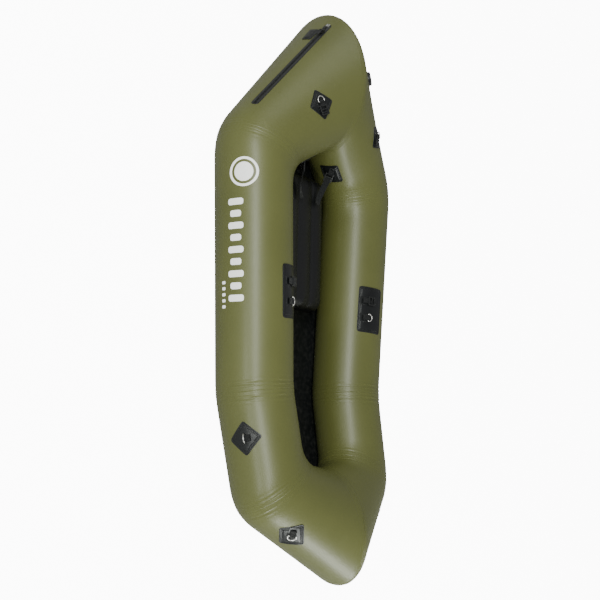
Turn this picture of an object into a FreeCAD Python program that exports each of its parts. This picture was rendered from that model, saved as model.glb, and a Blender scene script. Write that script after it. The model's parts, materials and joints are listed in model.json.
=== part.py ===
import FreeCAD, Part
import math
import os

# Single-seat inflatable kayak of the packraft kind, built in millimetres.
# +X points to the bow, +Y to port, +Z up; the origin is under the middle of the hull.
# The hull is a ring of tubes: each tube is a ruled skin between two elliptical seam rings.
# Every fitting sits on a point of that skin, found from a tube number, a fraction along the
# tube from its stern end, and an angle (0 outboard, 90 top, 180 inboard, 270 bottom).

os.makedirs("parts", exist_ok=True)
doc = FreeCAD.newDocument("kayak")
V = FreeCAD.Vector

# ---------------------------------------------------------------- driving dimensions
SIZES = {
    # seam rings of the hull tube, as centre, radius and, at the two tips, a tilted ellipse
    "stern_tip_x": -824.0,
    "stern_tip_z": 202.0,
    "stern_tip_half_length": 291.0,
    "stern_tip_half_height": 199.0,
    "stern_tip_tilt": -9.2,
    "stern_corner_x": -439.0,
    "stern_corner_y": 346.0,
    "stern_corner_radius": 144.0,
    "mid_bend_x": 437.0,
    "mid_bend_y": 290.0,
    "mid_bend_radius": 138.0,
    "bow_corner_x": 764.0,
    "bow_corner_y": 267.0,
    "bow_corner_rise": 67.0,
    "bow_corner_radius": 133.0,
    "bow_tip_x": 914.0,
    "bow_tip_z": 272.0,
    "bow_tip_half_length": 204.0,
    "bow_tip_half_height": 147.0,
    "bow_tip_tilt": 18.0,
    "tube_wall": 1.2,
    # floor sheet, bonded along one angle of the tubes
    "floor_thickness": 2.0,
    "floor_edge_angle": 243.0,
    "floor_edge_gap": 4.0,
    "floor_tip_half_width": 14.0,
    # inflatable seat
    "seat_rear_x": -452.0,
    "seat_length": 560.0,
    "seat_width": 284.0,
    "seat_height": 122.0,
    "seat_round": 46.0,
    "seat_wall": 1.2,
    "seat_floor_gap": 2.0,
    # glued pads
    "pad_thickness": 1.6,
    "diamond_side": 83.0,
    "diamond_round": 9.0,
    "long_pad_length": 189.0,
    "long_pad_width": 115.0,
    "long_pad_round": 12.0,
    # webbing, rings and buckles
    "webbing_width": 22.0,
    "webbing_thickness": 1.5,
    "bar_radius": 2.0,
    "bar_clearance": 0.08,
    "bar_height": 7.4,
    "ring_radius": 15.0,
    "ring_leg": 4.0,
    "buckle_length": 38.0,
    "buckle_width": 36.0,
    "buckle_thickness": 4.4,
    "buckle_rail": 4.6,
    "strap_width": 25.0,
    # zip
    "zip_width": 30.0,
    "tape_thickness": 1.6,
    "teeth_width": 6.0,
    "teeth_height": 2.4,
    "slider_length": 26.0,
    "slider_width": 16.0,
    "slider_height": 8.0,
    "slider_gap": 0.4,
    "puller_length": 34.0,
    "puller_width": 9.0,
    "puller_thickness": 2.4,
    "stop_length": 16.0,
    "stop_width": 15.0,
    "stop_height": 5.0,
    "dock_length": 78.0,
    "dock_width": 44.0,
    "dock_thickness": 2.4,
    # hull valve
    "valve_flange_radius": 30.0,
    "valve_flange_thickness": 6.0,
    "valve_body_radius": 20.0,
    "valve_body_height": 7.0,
    "valve_throat_radius": 11.0,
    "valve_hole_radius": 15.0,
    "valve_cap_radius": 27.0,
    "valve_cap_height": 9.0,
    "plunger_radius": 8.0,
    "plunger_height": 5.0,
    # seat valve
    "seat_valve_radius": 9.0,
    "seat_valve_length": 12.0,
    "seat_valve_flange": 15.0,
    "seat_cap_radius": 11.6,
    "seat_cap_length": 9.0,
}

sheet = doc.addObject("Spreadsheet::Sheet", "Dims")
for row, (alias, value) in enumerate(SIZES.items(), start=1):
    sheet.set(f"A{row}", alias)
    sheet.set(f"B{row}", str(value))
    sheet.setAlias(f"B{row}", alias)
doc.recompute()


def size(alias):
    """A driving dimension, read back from the sheet."""
    return float(sheet.get(alias))


# ---------------------------------------------------------------- hull surface
TIP_STERN = 0
TIP_BOW = 4


def flat(vector):
    """The level part of a direction, as a unit vector."""
    level = V(vector.x, vector.y, 0)
    level.normalize()
    return level


def seam_rings(side):
    """The five seam rings of one side: centre, outward axis, upward axis, stretch, two aliases."""
    centres = [
        V(size("stern_tip_x"), 0, size("stern_tip_z")),
        V(size("stern_corner_x"), side * size("stern_corner_y"), size("stern_corner_radius")),
        V(size("mid_bend_x"), side * size("mid_bend_y"), size("mid_bend_radius")),
        V(
            size("bow_corner_x"),
            side * size("bow_corner_y"),
            size("bow_corner_radius") + size("bow_corner_rise"),
        ),
        V(size("bow_tip_x"), 0, size("bow_tip_z")),
    ]
    runs = []
    for here, ahead in zip(centres[:-1], centres[1:]):
        run = ahead - here
        run.normalize()
        runs.append(run)
    names = ["stern_tip", "stern_corner", "mid_bend", "bow_corner", "bow_tip"]
    rings = []
    for index, centre in enumerate(centres):
        if index in (TIP_STERN, TIP_BOW):
            fore = -1 if index == TIP_STERN else 1
            tilt = math.radians(size(names[index] + "_tilt"))
            outward = V(fore * math.cos(tilt), 0, math.sin(tilt))
            upward = V(-fore * math.sin(tilt), 0, math.cos(tilt))
            long_alias = names[index] + "_half_length"
            short_alias = names[index] + "_half_height"
            stretch = 1.0
        else:
            mitre = runs[index - 1] + runs[index]
            mitre.normalize()
            upward = V(0, 0, 1) - mitre * mitre.z
            upward.normalize()
            outward = upward.cross(mitre)
            if outward.y * side < 0:
                outward = outward * -1
            stretch = 1 / flat(runs[index - 1]).dot(flat(mitre))
            long_alias = names[index] + "_radius"
            short_alias = long_alias
        rings.append((centre, outward, upward, stretch, long_alias, short_alias))
    return rings


RINGS = {-1: seam_rings(-1), 1: seam_rings(1)}


def ring_point(side, index, angle):
    """A point on a seam ring, at an angle in degrees."""
    centre, outward, upward, stretch, long_alias, short_alias = RINGS[side][index]
    turn = math.radians(angle)
    across = outward * (size(long_alias) * stretch * math.cos(turn))
    return centre + across + upward * (size(short_alias) * math.sin(turn))


def skin_point(side, tube, along, angle):
    """A point on the tube skin."""
    start = ring_point(side, tube, angle)
    end = ring_point(side, tube + 1, angle)
    return start * (1 - along) + end * along


def skin_normal(side, tube, along, angle):
    """The outward normal of the tube skin."""
    step = 0.25
    around = skin_point(side, tube, along, angle + step) - skin_point(side, tube, along, angle - step)
    lengthwise = ring_point(side, tube + 1, angle) - ring_point(side, tube, angle)
    normal = around.cross(lengthwise)
    normal.normalize()
    middle = RINGS[side][tube][0] * (1 - along) + RINGS[side][tube + 1][0] * along
    if normal.dot(skin_point(side, tube, along, angle) - middle) < 0:
        normal = normal * -1
    return normal


def placement(origin, x_axis, y_axis, z_axis):
    """A placement from an origin and three unit axes."""
    return FreeCAD.Placement(
        FreeCAD.Matrix(
            x_axis.x, y_axis.x, z_axis.x, origin.x,
            x_axis.y, y_axis.y, z_axis.y, origin.y,
            x_axis.z, y_axis.z, z_axis.z, origin.z,
            0, 0, 0, 1,
        )
    )


def aimed(origin, normal, heading):
    """A placement with Z along the normal and X along the heading, as near as it goes."""
    x_axis = heading - normal * heading.dot(normal)
    x_axis.normalize()
    return placement(origin, x_axis, normal.cross(x_axis), normal)


def shifted(base, x=0.0, y=0.0, z=0.0, axis=None, turn=0.0):
    """A placement moved, and turned, inside another."""
    rotation = FreeCAD.Rotation(axis or V(0, 0, 1), turn)
    return base.multiply(FreeCAD.Placement(V(x, y, z), rotation))


# ---------------------------------------------------------------- building helpers
FLAT = FreeCAD.Placement()
finals = {}


def primitive(kind, name, place, **bound):
    """A Part primitive whose sizes are bound to the sheet."""
    item = doc.addObject("Part::" + kind, name)
    for prop, formula in bound.items():
        item.setExpression(prop, formula)
    item.Placement = place
    return item


def block(name, place, length, width, height, x=0.0, y=0.0, z=0.0):
    """A box of bound sizes, centred on x and y and standing on z, inside a placement."""
    item = primitive("Box", name, FLAT, Length=length, Width=width, Height=height)
    doc.recompute()
    corner = V(x - item.Length.Value / 2, y - item.Width.Value / 2, z)
    item.Placement = place.multiply(FreeCAD.Placement(corner, FreeCAD.Rotation()))
    return item


def rounded(name, item, radius, edges):
    """A fillet on some edges of an item."""
    doc.recompute()
    result = doc.addObject("Part::Fillet", name)
    result.Base = item
    result.Edges = [(edge, radius, radius) for edge in edges]
    return result


def joined(name, items):
    """One solid from several that overlap."""
    result = doc.addObject("Part::MultiFuse", name)
    result.Shapes = items
    return result


def cut(name, base, tool):
    """The base with the tool taken away."""
    result = doc.addObject("Part::Cut", name)
    result.Base = base
    result.Tool = tool
    return result


def common(name, items):
    """What several items share."""
    result = doc.addObject("Part::MultiCommon", name)
    result.Shapes = items
    return result


def mirrored(name, source):
    """The same piece on the other side of the hull."""
    result = doc.addObject("Part::Mirroring", name)
    result.Source = source
    result.Normal = V(0, 1, 0)
    result.Base = V(0, 0, 0)
    return result


def keep(label, item):
    """Marks an item as one of the object's pieces."""
    finals[label] = item
    return item


def upright_edges(item, direction):
    """The numbers of the straight edges that run along a direction."""
    found = []
    for number, edge in enumerate(item.Shape.Edges, start=1):
        if len(edge.Vertexes) < 2:
            continue
        run = edge.Vertexes[1].Point - edge.Vertexes[0].Point
        run.normalize()
        if abs(run.dot(direction)) > 0.999:
            found.append(number)
    return found


# ---------------------------------------------------------------- hull tubes
def ring_edge(name, index, inset):
    """A seam ring as an ellipse, made smaller by the wall for the inside skin."""
    centre, outward, upward, stretch, long_alias, short_alias = RINGS[-1][index]
    item = doc.addObject("Part::Ellipse", name)
    take = " - Dims.tube_wall" if inset else ""
    item.setExpression("MajorRadius", f"Dims.{long_alias} * {stretch + 0.00001:.5f}{take}")
    item.setExpression("MinorRadius", f"Dims.{short_alias}{take}")
    item.Placement = placement(centre, outward, upward, outward.cross(upward))
    return item


def lofted(name, first, second):
    """A straight ruled solid between two rings."""
    item = doc.addObject("Part::Loft", name)
    item.Sections = [first, second]
    item.Solid = True
    item.Ruled = True
    return item


outer_rings = [ring_edge(f"outer_ring_{index}", index, False) for index in range(5)]
inner_rings = [ring_edge(f"inner_ring_{index}", index, True) for index in range(5)]
for tube, label in enumerate(["stern_tube", "side_tube", "front_tube", "bow_tube"]):
    outside = lofted(label + "_outside", outer_rings[tube], outer_rings[tube + 1])
    inside = lofted(label + "_inside", inner_rings[tube], inner_rings[tube + 1])
    starboard = keep(label + "_right", cut(label + "_right", outside, inside))
    keep(label + "_left", mirrored(label + "_left", starboard))

# ---------------------------------------------------------------- floor
floor_points = [ring_point(1, index, size("floor_edge_angle")) for index in range(5)]
for tip, neighbour in ((TIP_STERN, TIP_STERN + 1), (TIP_BOW, TIP_BOW - 1)):
    tip_y = size("floor_tip_half_width") + size("floor_edge_gap")
    share = tip_y / floor_points[neighbour].y
    floor_points[tip] = floor_points[tip] * (1 - share) + floor_points[neighbour] * share
floor_half_widths = [point.y - size("floor_edge_gap") for point in floor_points]
floor_half = size("floor_thickness") / 2
floor_sections = []
for index, (point, half_width) in enumerate(zip(floor_points, floor_half_widths)):
    section = doc.addObject("Part::Polygon", f"floor_section_{index}")
    section.Nodes = [
        V(point.x, -half_width, point.z - floor_half),
        V(point.x, half_width, point.z - floor_half),
        V(point.x, half_width, point.z + floor_half),
        V(point.x, -half_width, point.z + floor_half),
    ]
    section.Close = True
    floor_sections.append(section)
floor_sheet = doc.addObject("Part::Loft", "floor_sheet")
floor_sheet.Sections = floor_sections
floor_sheet.Solid = True
floor_sheet.Ruled = True
keep("floor_sheet", floor_sheet)

# ---------------------------------------------------------------- seat
floor_top = floor_points[1].z + size("floor_thickness") / 2
seat_bottom = floor_top + size("seat_floor_gap")
seat_middle = size("seat_rear_x") + size("seat_length") / 2
seat_place = FreeCAD.Placement(V(seat_middle, 0, seat_bottom), FreeCAD.Rotation())
seat_block = block("seat_block", seat_place, "Dims.seat_length", "Dims.seat_width", "Dims.seat_height")
seat_skin = rounded("seat_skin", seat_block, size("seat_round"), range(1, 13))
air_block = block(
    "seat_air_block",
    seat_place,
    "Dims.seat_length - 2 * Dims.seat_wall",
    "Dims.seat_width - 2 * Dims.seat_wall",
    "Dims.seat_height - 2 * Dims.seat_wall",
    z=size("seat_wall"),
)
seat_air = rounded("seat_air", air_block, size("seat_round") - size("seat_wall"), range(1, 13))
keep("seat_cushion", cut("seat_cushion", seat_skin, seat_air))

seat_valve_place = placement(
    V(size("seat_rear_x") - 0.1, 0, seat_bottom + size("seat_height") / 2),
    V(0, 0, 1),
    V(0, 1, 0),
    V(-1, 0, 0),
)
seat_flange = primitive(
    "Cylinder", "seat_flange", seat_valve_place, Radius="Dims.seat_valve_flange", Height="3"
)
seat_neck = primitive(
    "Cylinder",
    "seat_neck",
    seat_valve_place,
    Radius="Dims.seat_valve_radius",
    Height="Dims.seat_valve_length",
)
keep("seat_valve", joined("seat_valve", [seat_flange, seat_neck]))
seat_cap_outside = primitive(
    "Cylinder",
    "seat_cap_outside",
    shifted(seat_valve_place, z=5.0),
    Radius="Dims.seat_cap_radius",
    Height="Dims.seat_cap_length",
)
seat_cap_inside = primitive(
    "Cylinder",
    "seat_cap_inside",
    shifted(seat_valve_place, z=4.0),
    Radius="Dims.seat_valve_radius + 0.4",
    Height="Dims.seat_valve_length - 3.6",
)
keep("seat_valve_cap", cut("seat_valve_cap", seat_cap_outside, seat_cap_inside))


# ---------------------------------------------------------------- pads and webbing fittings
def surface_frame(side, tube, along, angle, heading):
    """A placement on the skin, with X along the heading."""
    origin = skin_point(side, tube, along, angle)
    return aimed(origin, skin_normal(side, tube, along, angle), heading)


def tube_run(side, tube, angle):
    """The straight direction of the skin towards the bow."""
    run = ring_point(side, tube + 1, angle) - ring_point(side, tube, angle)
    run.normalize()
    return run


def bend_radius(side, tube, along, angle):
    """The radius of the skin around the tube, near one point."""
    step = 14.0
    middle = skin_point(side, tube, along, angle)
    frame = aimed(middle, skin_normal(side, tube, along, angle), tube_run(side, tube, angle))
    back = frame.inverse()
    total = 0.0
    for turn in (-step, step):
        local = back.multVec(skin_point(side, tube, along, angle + turn))
        total += (local.y**2 + local.z**2) / (2 * abs(local.z))
    return total / 2


def pad(label, side, tube, along, angle, turn, length, width, corner):
    """A glued pad: a thin curved plate that follows the tube under it."""
    run = tube_run(side, tube, angle)
    frame = surface_frame(side, tube, along, angle, run)
    radius = bend_radius(side, tube, along, angle)
    lift = 0.0
    back = frame.inverse()
    for far in (-1, 0, 1):
        for near in range(-6, 7):
            point = back.multVec(
                skin_point(side, tube, along + far * 0.04, angle + near * 3)
            )
            if abs(point.y) < 55:
                lift = max(lift, point.z + radius - math.sqrt(radius**2 - point.y**2))
    lift += 0.4
    lying = shifted(frame, x=-150, z=lift - radius, axis=V(0, 1, 0), turn=90)
    outer = primitive(
        "Cylinder",
        label + "_outer",
        lying,
        Radius=f"{radius:.3f} + Dims.pad_thickness",
        Height="300",
    )
    inner = primitive("Cylinder", label + "_inner", lying, Radius=f"{radius:.3f}", Height="300")
    shell = cut(label + "_shell", outer, inner)
    turned = shifted(frame, z=-40, turn=turn)
    prism = block(label + "_prism", turned, length, width, "80")
    doc.recompute()
    edges = upright_edges(prism, turned.Rotation.multVec(V(0, 0, 1)))
    outline = rounded(label + "_outline", prism, size(corner), edges)
    return keep(label, common(label, [shell, outline])), frame, lift


def webbing(label, frame, lift, loops, plate_from, plate_to):
    """Stitched webbing with a round sleeve for each bar, and one flat strip under them."""
    bottom = lift + size("pad_thickness") + 0.3
    items = [
        block(
            label + "_strip",
            frame,
            f"{plate_to - plate_from:.2f}",
            "Dims.webbing_width",
            "Dims.webbing_thickness",
            x=(plate_from + plate_to) / 2,
            z=bottom,
        )
    ]
    bores = []
    for number, x in enumerate(loops):
        across = shifted(
            frame, x=x, y=size("webbing_width") / 2, z=size("bar_height"), axis=V(1, 0, 0), turn=90
        )
        sleeve = primitive(
            "Cylinder",
            f"{label}_sleeve_{number}",
            across,
            Radius="Dims.bar_radius + Dims.bar_clearance + Dims.webbing_thickness",
            Height="Dims.webbing_width",
        )
        items.append(sleeve)
        longer = shifted(across, z=-1)
        bores.append(
            primitive(
                "Cylinder",
                f"{label}_bore_{number}",
                longer,
                Radius="Dims.bar_radius + Dims.bar_clearance",
                Height="Dims.webbing_width + 2",
            )
        )
    tool = bores[0] if len(bores) == 1 else joined(label + "_bores", bores)
    return keep(label, cut(label, joined(label + "_solid", items), tool))


def bar(name, place, half_length):
    """A round bar along Y, centred on a placement."""
    start = shifted(place, y=half_length, axis=V(1, 0, 0), turn=90)
    return primitive("Cylinder", name, start, Radius="Dims.bar_radius", Height=f"{2 * half_length:.3f}")


def ring(label, place):
    """A D-ring: a bar along Y, two legs and a half circle towards +X."""
    reach = size("ring_radius")
    leg = size("ring_leg")
    items = [bar(label + "_bar", place, reach)]
    for hand in (-1, 1):
        corner = shifted(place, y=hand * reach)
        items.append(primitive("Sphere", f"{label}_corner_{hand + 1}", corner, Radius="Dims.bar_radius"))
        leg_place = shifted(corner, axis=V(0, 1, 0), turn=90)
        items.append(
            primitive(
                "Cylinder",
                f"{label}_leg_{hand + 1}",
                leg_place,
                Radius="Dims.bar_radius",
                Height="Dims.ring_leg",
            )
        )
    arc_place = shifted(place, x=leg, turn=-90)
    items.append(
        primitive(
            "Torus",
            label + "_arc",
            arc_place,
            Radius1="Dims.ring_radius",
            Radius2="Dims.bar_radius",
            Angle3="180",
        )
    )
    return keep(label, joined(label, items))


def buckle(label, place):
    """A ladder-lock buckle: a pivot bar along Y, two rails and two cross bars towards +X."""
    width = size("buckle_width")
    rail = size("buckle_rail")
    length = size("buckle_length")
    half = size("buckle_thickness") / 2
    items = [bar(label + "_pivot", place, width / 2 - rail / 2)]
    for hand in (-1, 1):
        items.append(
            block(
                f"{label}_rail_{hand + 1}",
                place,
                "Dims.buckle_length",
                "Dims.buckle_rail",
                "Dims.buckle_thickness",
                x=length / 2 - 3,
                y=hand * (width - rail) / 2,
                z=-half,
            )
        )
    crossbars = {"middle": (14.5, 4.0, 0.2), "grip": (25.0, 4.0, 0.9), "lip": (32.6, 4.8, 0.0)}
    for part, (x, thick, rise) in crossbars.items():
        items.append(
            block(
                f"{label}_{part}",
                place,
                f"{thick}",
                f"{width - rail}",
                "Dims.buckle_thickness",
                x=x,
                z=rise - half,
            )
        )
    return keep(label, joined(label, items))


def turned_frame(frame, turn, x=0.0, y=0.0):
    """A fitting's own frame on its pad."""
    return shifted(frame, x=x, y=y, turn=turn)


BAR_Z = size("bar_height")

# Stern pads, on top of the stern tubes: a ring towards the stern and a buckle towards the cockpit.
_, stern_frame, stern_lift = pad(
    "stern_pad_right", -1, 0, 0.567, 90.0, 24.0, "Dims.diamond_side", "Dims.diamond_side", "diamond_round"
)
stern_turn = turned_frame(stern_frame, 69.0)
webbing("stern_webbing_right", stern_turn, stern_lift, [-9.0, 7.0], -10.0, 8.0)
ring("stern_ring_right", shifted(stern_turn, x=-9.0, z=BAR_Z, turn=180))
buckle("stern_buckle_right", shifted(stern_turn, x=7.0, z=BAR_Z))

# Front pads, on the outside of the front tubes: one ring that stands out.
_, front_frame, front_lift = pad(
    "front_pad_right", -1, 2, 0.389, 19.0, 45.0, "Dims.diamond_side", "Dims.diamond_side", "diamond_round"
)
front_turn = turned_frame(front_frame, -90.0)
webbing("front_webbing_right", front_turn, front_lift, [0.0], -22.0, 0.0)
ring("front_ring_right", shifted(front_turn, z=BAR_Z, axis=V(0, 1, 0), turn=-108))

# Bow pads: one ring that lies towards the bow and down.
_, bow_frame, bow_lift = pad(
    "bow_pad_right", -1, 3, 0.333, 23.0, 45.0, "Dims.diamond_side", "Dims.diamond_side", "diamond_round"
)
bow_turn = turned_frame(bow_frame, -62.0)
webbing("bow_webbing_right", bow_turn, bow_lift, [-6.0], -28.0, -6.0)
ring("bow_ring_right", shifted(bow_turn, x=-6.0, z=BAR_Z))

# Seat pads, on the inner faces of the stern tubes: a buckle, and a strap down to the seat.
_, inner_frame, inner_lift = pad(
    "inner_pad_right", -1, 0, 0.490, 186.0, -11.0, "Dims.diamond_side", "Dims.diamond_side", "diamond_round"
)
inner_origin = inner_frame.Base
inner_normal = inner_frame.Rotation.multVec(V(0, 0, 1))
seat_anchor = V(-358.0, -62.0, seat_bottom + size("seat_height") + 8.5)
inner_heading = seat_anchor - inner_origin
inner_turn = aimed(inner_origin, inner_normal, inner_heading)
webbing("inner_webbing_right", inner_turn, inner_lift, [0.0], -24.0, 0.0)
pull = seat_anchor - inner_turn.multVec(V(0, 0, BAR_Z))
pull.normalize()
lay = inner_turn.Rotation.multVec(V(0, 1, 0))
buckle_z = pull.cross(lay)
buckle_z.normalize()
buckle_place = placement(inner_turn.multVec(V(0, 0, BAR_Z)), pull, buckle_z.cross(pull), buckle_z)
buckle("seat_buckle_right", buckle_place)

strap_start = buckle_place.multVec(V(20.0, 0, 3.9))
strap_run = seat_anchor - strap_start
strap_place = aimed(strap_start, buckle_place.Rotation.multVec(V(0, 0, 1)), strap_run)
strap_length = strap_run.Length
strap = primitive(
    "Box",
    "seat_strap_right",
    strap_place.multiply(FreeCAD.Placement(V(0, -size("strap_width") / 2, 0), FreeCAD.Rotation())),
    Length=f"{strap_length:.3f}",
    Width="Dims.strap_width",
    Height="Dims.webbing_thickness",
)
keep("seat_strap_right", strap)

for label in list(finals):
    if label.endswith("_right") and "tube" not in label:
        twin = label.replace("_right", "_left")
        keep(twin, mirrored(twin, finals[label]))

# Long pads, on top of the side tubes: a buckle and a ring, both lying towards port.
for hand, side in (("right", -1), ("left", 1)):
    _, long_frame, long_lift = pad(
        f"side_pad_{hand}",
        side,
        1,
        0.600,
        109.5,
        0.0,
        "Dims.long_pad_length",
        "Dims.long_pad_width",
        "long_pad_round",
    )
    shift = -4.0 if hand == "right" else -16.0
    buckle_turn = turned_frame(long_frame, 90.0, x=-36.0, y=shift)
    ring_turn = turned_frame(long_frame, 90.0, x=34.0, y=shift)
    webbing(f"side_webbing_{hand}", buckle_turn, long_lift, [0.0], -30.0, 0.0)
    webbing(f"ring_webbing_{hand}", ring_turn, long_lift, [0.0], -26.0, 0.0)
    buckle(f"side_buckle_{hand}", shifted(buckle_turn, z=BAR_Z))
    ring(f"side_ring_{hand}", shifted(ring_turn, z=BAR_Z))

# ---------------------------------------------------------------- zip
zip_low = skin_point(-1, 0, 0.867, 21.5)
zip_high = skin_point(-1, 0, 0.115, 33.0)
zip_run = zip_high - zip_low
zip_length = zip_run.Length
zip_out = skin_normal(-1, 0, 0.45, 28.0)
ZIP_LIFT = 2.2
zip_place = aimed(zip_low, zip_out, zip_run)
zip_place = shifted(zip_place, x=zip_length / 2, z=ZIP_LIFT)
keep(
    "zip_tape",
    block("zip_tape", zip_place, f"{zip_length:.3f}", "Dims.zip_width", "Dims.tape_thickness"),
)
tape_top = size("tape_thickness")
teeth_length = zip_length - size("stop_length") - 12.0
keep(
    "zip_teeth",
    block(
        "zip_teeth",
        zip_place,
        f"{teeth_length:.3f}",
        "Dims.teeth_width",
        "Dims.teeth_height",
        x=-size("stop_length") / 2 - 1.0,
        z=tape_top,
    ),
)
stop_x = (zip_length - size("stop_length")) / 2 - 2.0
stop_body = block(
    "zip_stop_body",
    zip_place,
    "Dims.stop_length",
    "Dims.stop_width",
    "Dims.stop_height",
    x=stop_x,
    z=tape_top + 0.05,
)
stop_hole = primitive(
    "Cylinder",
    "zip_stop_hole",
    shifted(zip_place, x=stop_x + 2.0, z=tape_top - 1),
    Radius="Dims.stop_width / 2 - 4.5",
    Height="Dims.stop_height + 3",
)
keep("zip_stop", cut("zip_stop", stop_body, stop_hole))

slider_x = zip_length / 2 - 62.0
slider_base = tape_top + size("slider_gap")
slider_block = block(
    "slider_block",
    zip_place,
    "Dims.slider_length",
    "Dims.slider_width",
    "Dims.slider_height",
    x=slider_x,
    z=slider_base,
)
slider_channel = block(
    "slider_channel",
    zip_place,
    "Dims.slider_length + 4",
    "Dims.teeth_width + 2 * Dims.slider_gap",
    "Dims.teeth_height + Dims.slider_gap + 1",
    x=slider_x,
    z=slider_base - 1,
)
slider_body = cut("slider_body", slider_block, slider_channel)
ear_top = slider_base + size("slider_height")
ears = []
for hand in (-1, 1):
    ears.append(
        block(
            f"slider_ear_{hand + 1}",
            zip_place,
            "7",
            "2.4",
            "7",
            x=slider_x,
            y=hand * (size("puller_width") / 2 + 2.0),
            z=ear_top - 1,
        )
    )
pin_place = shifted(zip_place, x=slider_x, z=ear_top + 3.0)
pin = primitive(
    "Cylinder",
    "slider_pin",
    shifted(pin_place, y=size("puller_width") / 2 + 2.6, axis=V(1, 0, 0), turn=90),
    Radius="1.4",
    Height="Dims.puller_width + 5.2",
)
keep("zip_slider", joined("zip_slider", [slider_body, *ears, pin]))

tab = block(
    "puller_tab",
    pin_place,
    "Dims.puller_length",
    "Dims.puller_width",
    "Dims.puller_thickness",
    x=-size("puller_length") / 2,
    z=-size("puller_thickness") / 2,
)
eye = primitive(
    "Cylinder",
    "puller_eye",
    shifted(pin_place, y=size("puller_width") / 2, axis=V(1, 0, 0), turn=90),
    Radius="2.7",
    Height="Dims.puller_width",
)
pin_bore = primitive(
    "Cylinder",
    "puller_bore",
    shifted(pin_place, y=size("puller_width") / 2 + 1, axis=V(1, 0, 0), turn=90),
    Radius="1.46",
    Height="Dims.puller_width + 2",
)
keep("zip_puller", cut("zip_puller", joined("puller_solid", [tab, eye]), pin_bore))

# The dock beside the slider, a flat pad on the outer side of the tape.
dock_point = skin_point(-1, 0, 0.235, 20.0)
dock_out = skin_normal(-1, 0, 0.235, 20.0)
dock_place = shifted(aimed(dock_point, dock_out, zip_run), z=1.2)
dock_plate = block("dock_plate", dock_place, "Dims.dock_length", "Dims.dock_width", "Dims.dock_thickness")
dock_ridge = block(
    "dock_ridge",
    dock_place,
    "Dims.dock_length * 0.55",
    "9",
    "Dims.dock_thickness + 3",
    x=10.0,
)
keep("zip_dock", joined("zip_dock", [dock_plate, dock_ridge]))

# ---------------------------------------------------------------- hull valve
valve_place = surface_frame(1, 0, 0.195, 81.0, tube_run(1, 0, 81.0))
sink = size("valve_flange_thickness") / 2
flange = primitive(
    "Cylinder",
    "valve_flange",
    shifted(valve_place, z=-sink),
    Radius="Dims.valve_flange_radius",
    Height="Dims.valve_flange_thickness",
)
neck = primitive(
    "Cylinder",
    "valve_neck",
    shifted(valve_place, z=-18),
    Radius="Dims.valve_body_radius",
    Height="18 + Dims.valve_body_height",
)
throat = primitive(
    "Cylinder",
    "valve_throat",
    shifted(valve_place, z=-14),
    Radius="Dims.valve_throat_radius",
    Height="14 + Dims.valve_body_height + 1",
)
keep("valve_body", cut("valve_body", joined("valve_solid", [flange, neck]), throat))
valve_hole = primitive(
    "Cylinder",
    "valve_hole",
    shifted(valve_place, z=-20),
    Radius="Dims.valve_hole_radius",
    Height="40",
)
keep("stern_tube_left", cut("stern_tube_open", finals["stern_tube_left"], valve_hole))
cap_outside = primitive(
    "Cylinder",
    "cap_outside",
    shifted(valve_place, z=sink + 0.5),
    Radius="Dims.valve_cap_radius",
    Height="Dims.valve_cap_height",
)
cap_inside = primitive(
    "Cylinder",
    "cap_inside",
    shifted(valve_place, z=sink - 0.5),
    Radius="Dims.valve_body_radius + 0.5",
    Height="Dims.valve_body_height - Dims.valve_flange_thickness / 2 + 1",
)
keep("valve_cap", cut("valve_cap", cap_outside, cap_inside))
plunger = primitive(
    "Cylinder",
    "valve_plunger",
    shifted(valve_place, z=-4),
    Radius="Dims.plunger_radius",
    Height="Dims.plunger_height",
)
keep("valve_plunger", plunger)

# ---------------------------------------------------------------- check and write
doc.recompute()
for item in doc.Objects:
    if "Invalid" in item.State or "Error" in item.State:
        raise RuntimeError(f"{item.Name} did not recompute: {item.State}")
for label, item in finals.items():
    item.Label = label
    shape = item.Shape
    if shape.isNull() or not shape.isValid() or not shape.Solids:
        raise RuntimeError(f"{label} has no valid solid")
    shape.exportStep(f"parts/{label}.step")
print("pieces:", len(finals))
whole = Part.makeCompound([item.Shape for item in finals.values()]).BoundBox
print("size mm:", round(whole.XLength, 1), round(whole.YLength, 1), round(whole.ZLength, 1))
print("x", round(whole.XMin, 1), round(whole.XMax, 1), "z", round(whole.ZMin, 1), round(whole.ZMax, 1))
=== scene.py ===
# %% [markdown]
# # A one-person inflatable kayak
# This is the short, wide kind that rolls up into a rucksack: a ring of fat tubes with a fabric
# floor, a blow-up seat, a long zip for cargo and a few webbing fittings. The measured model of
# the same boat is loaded first. It fixes every size and place, and this script gives each soft
# piece its real skin and each hard piece its finish.

import math

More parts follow.
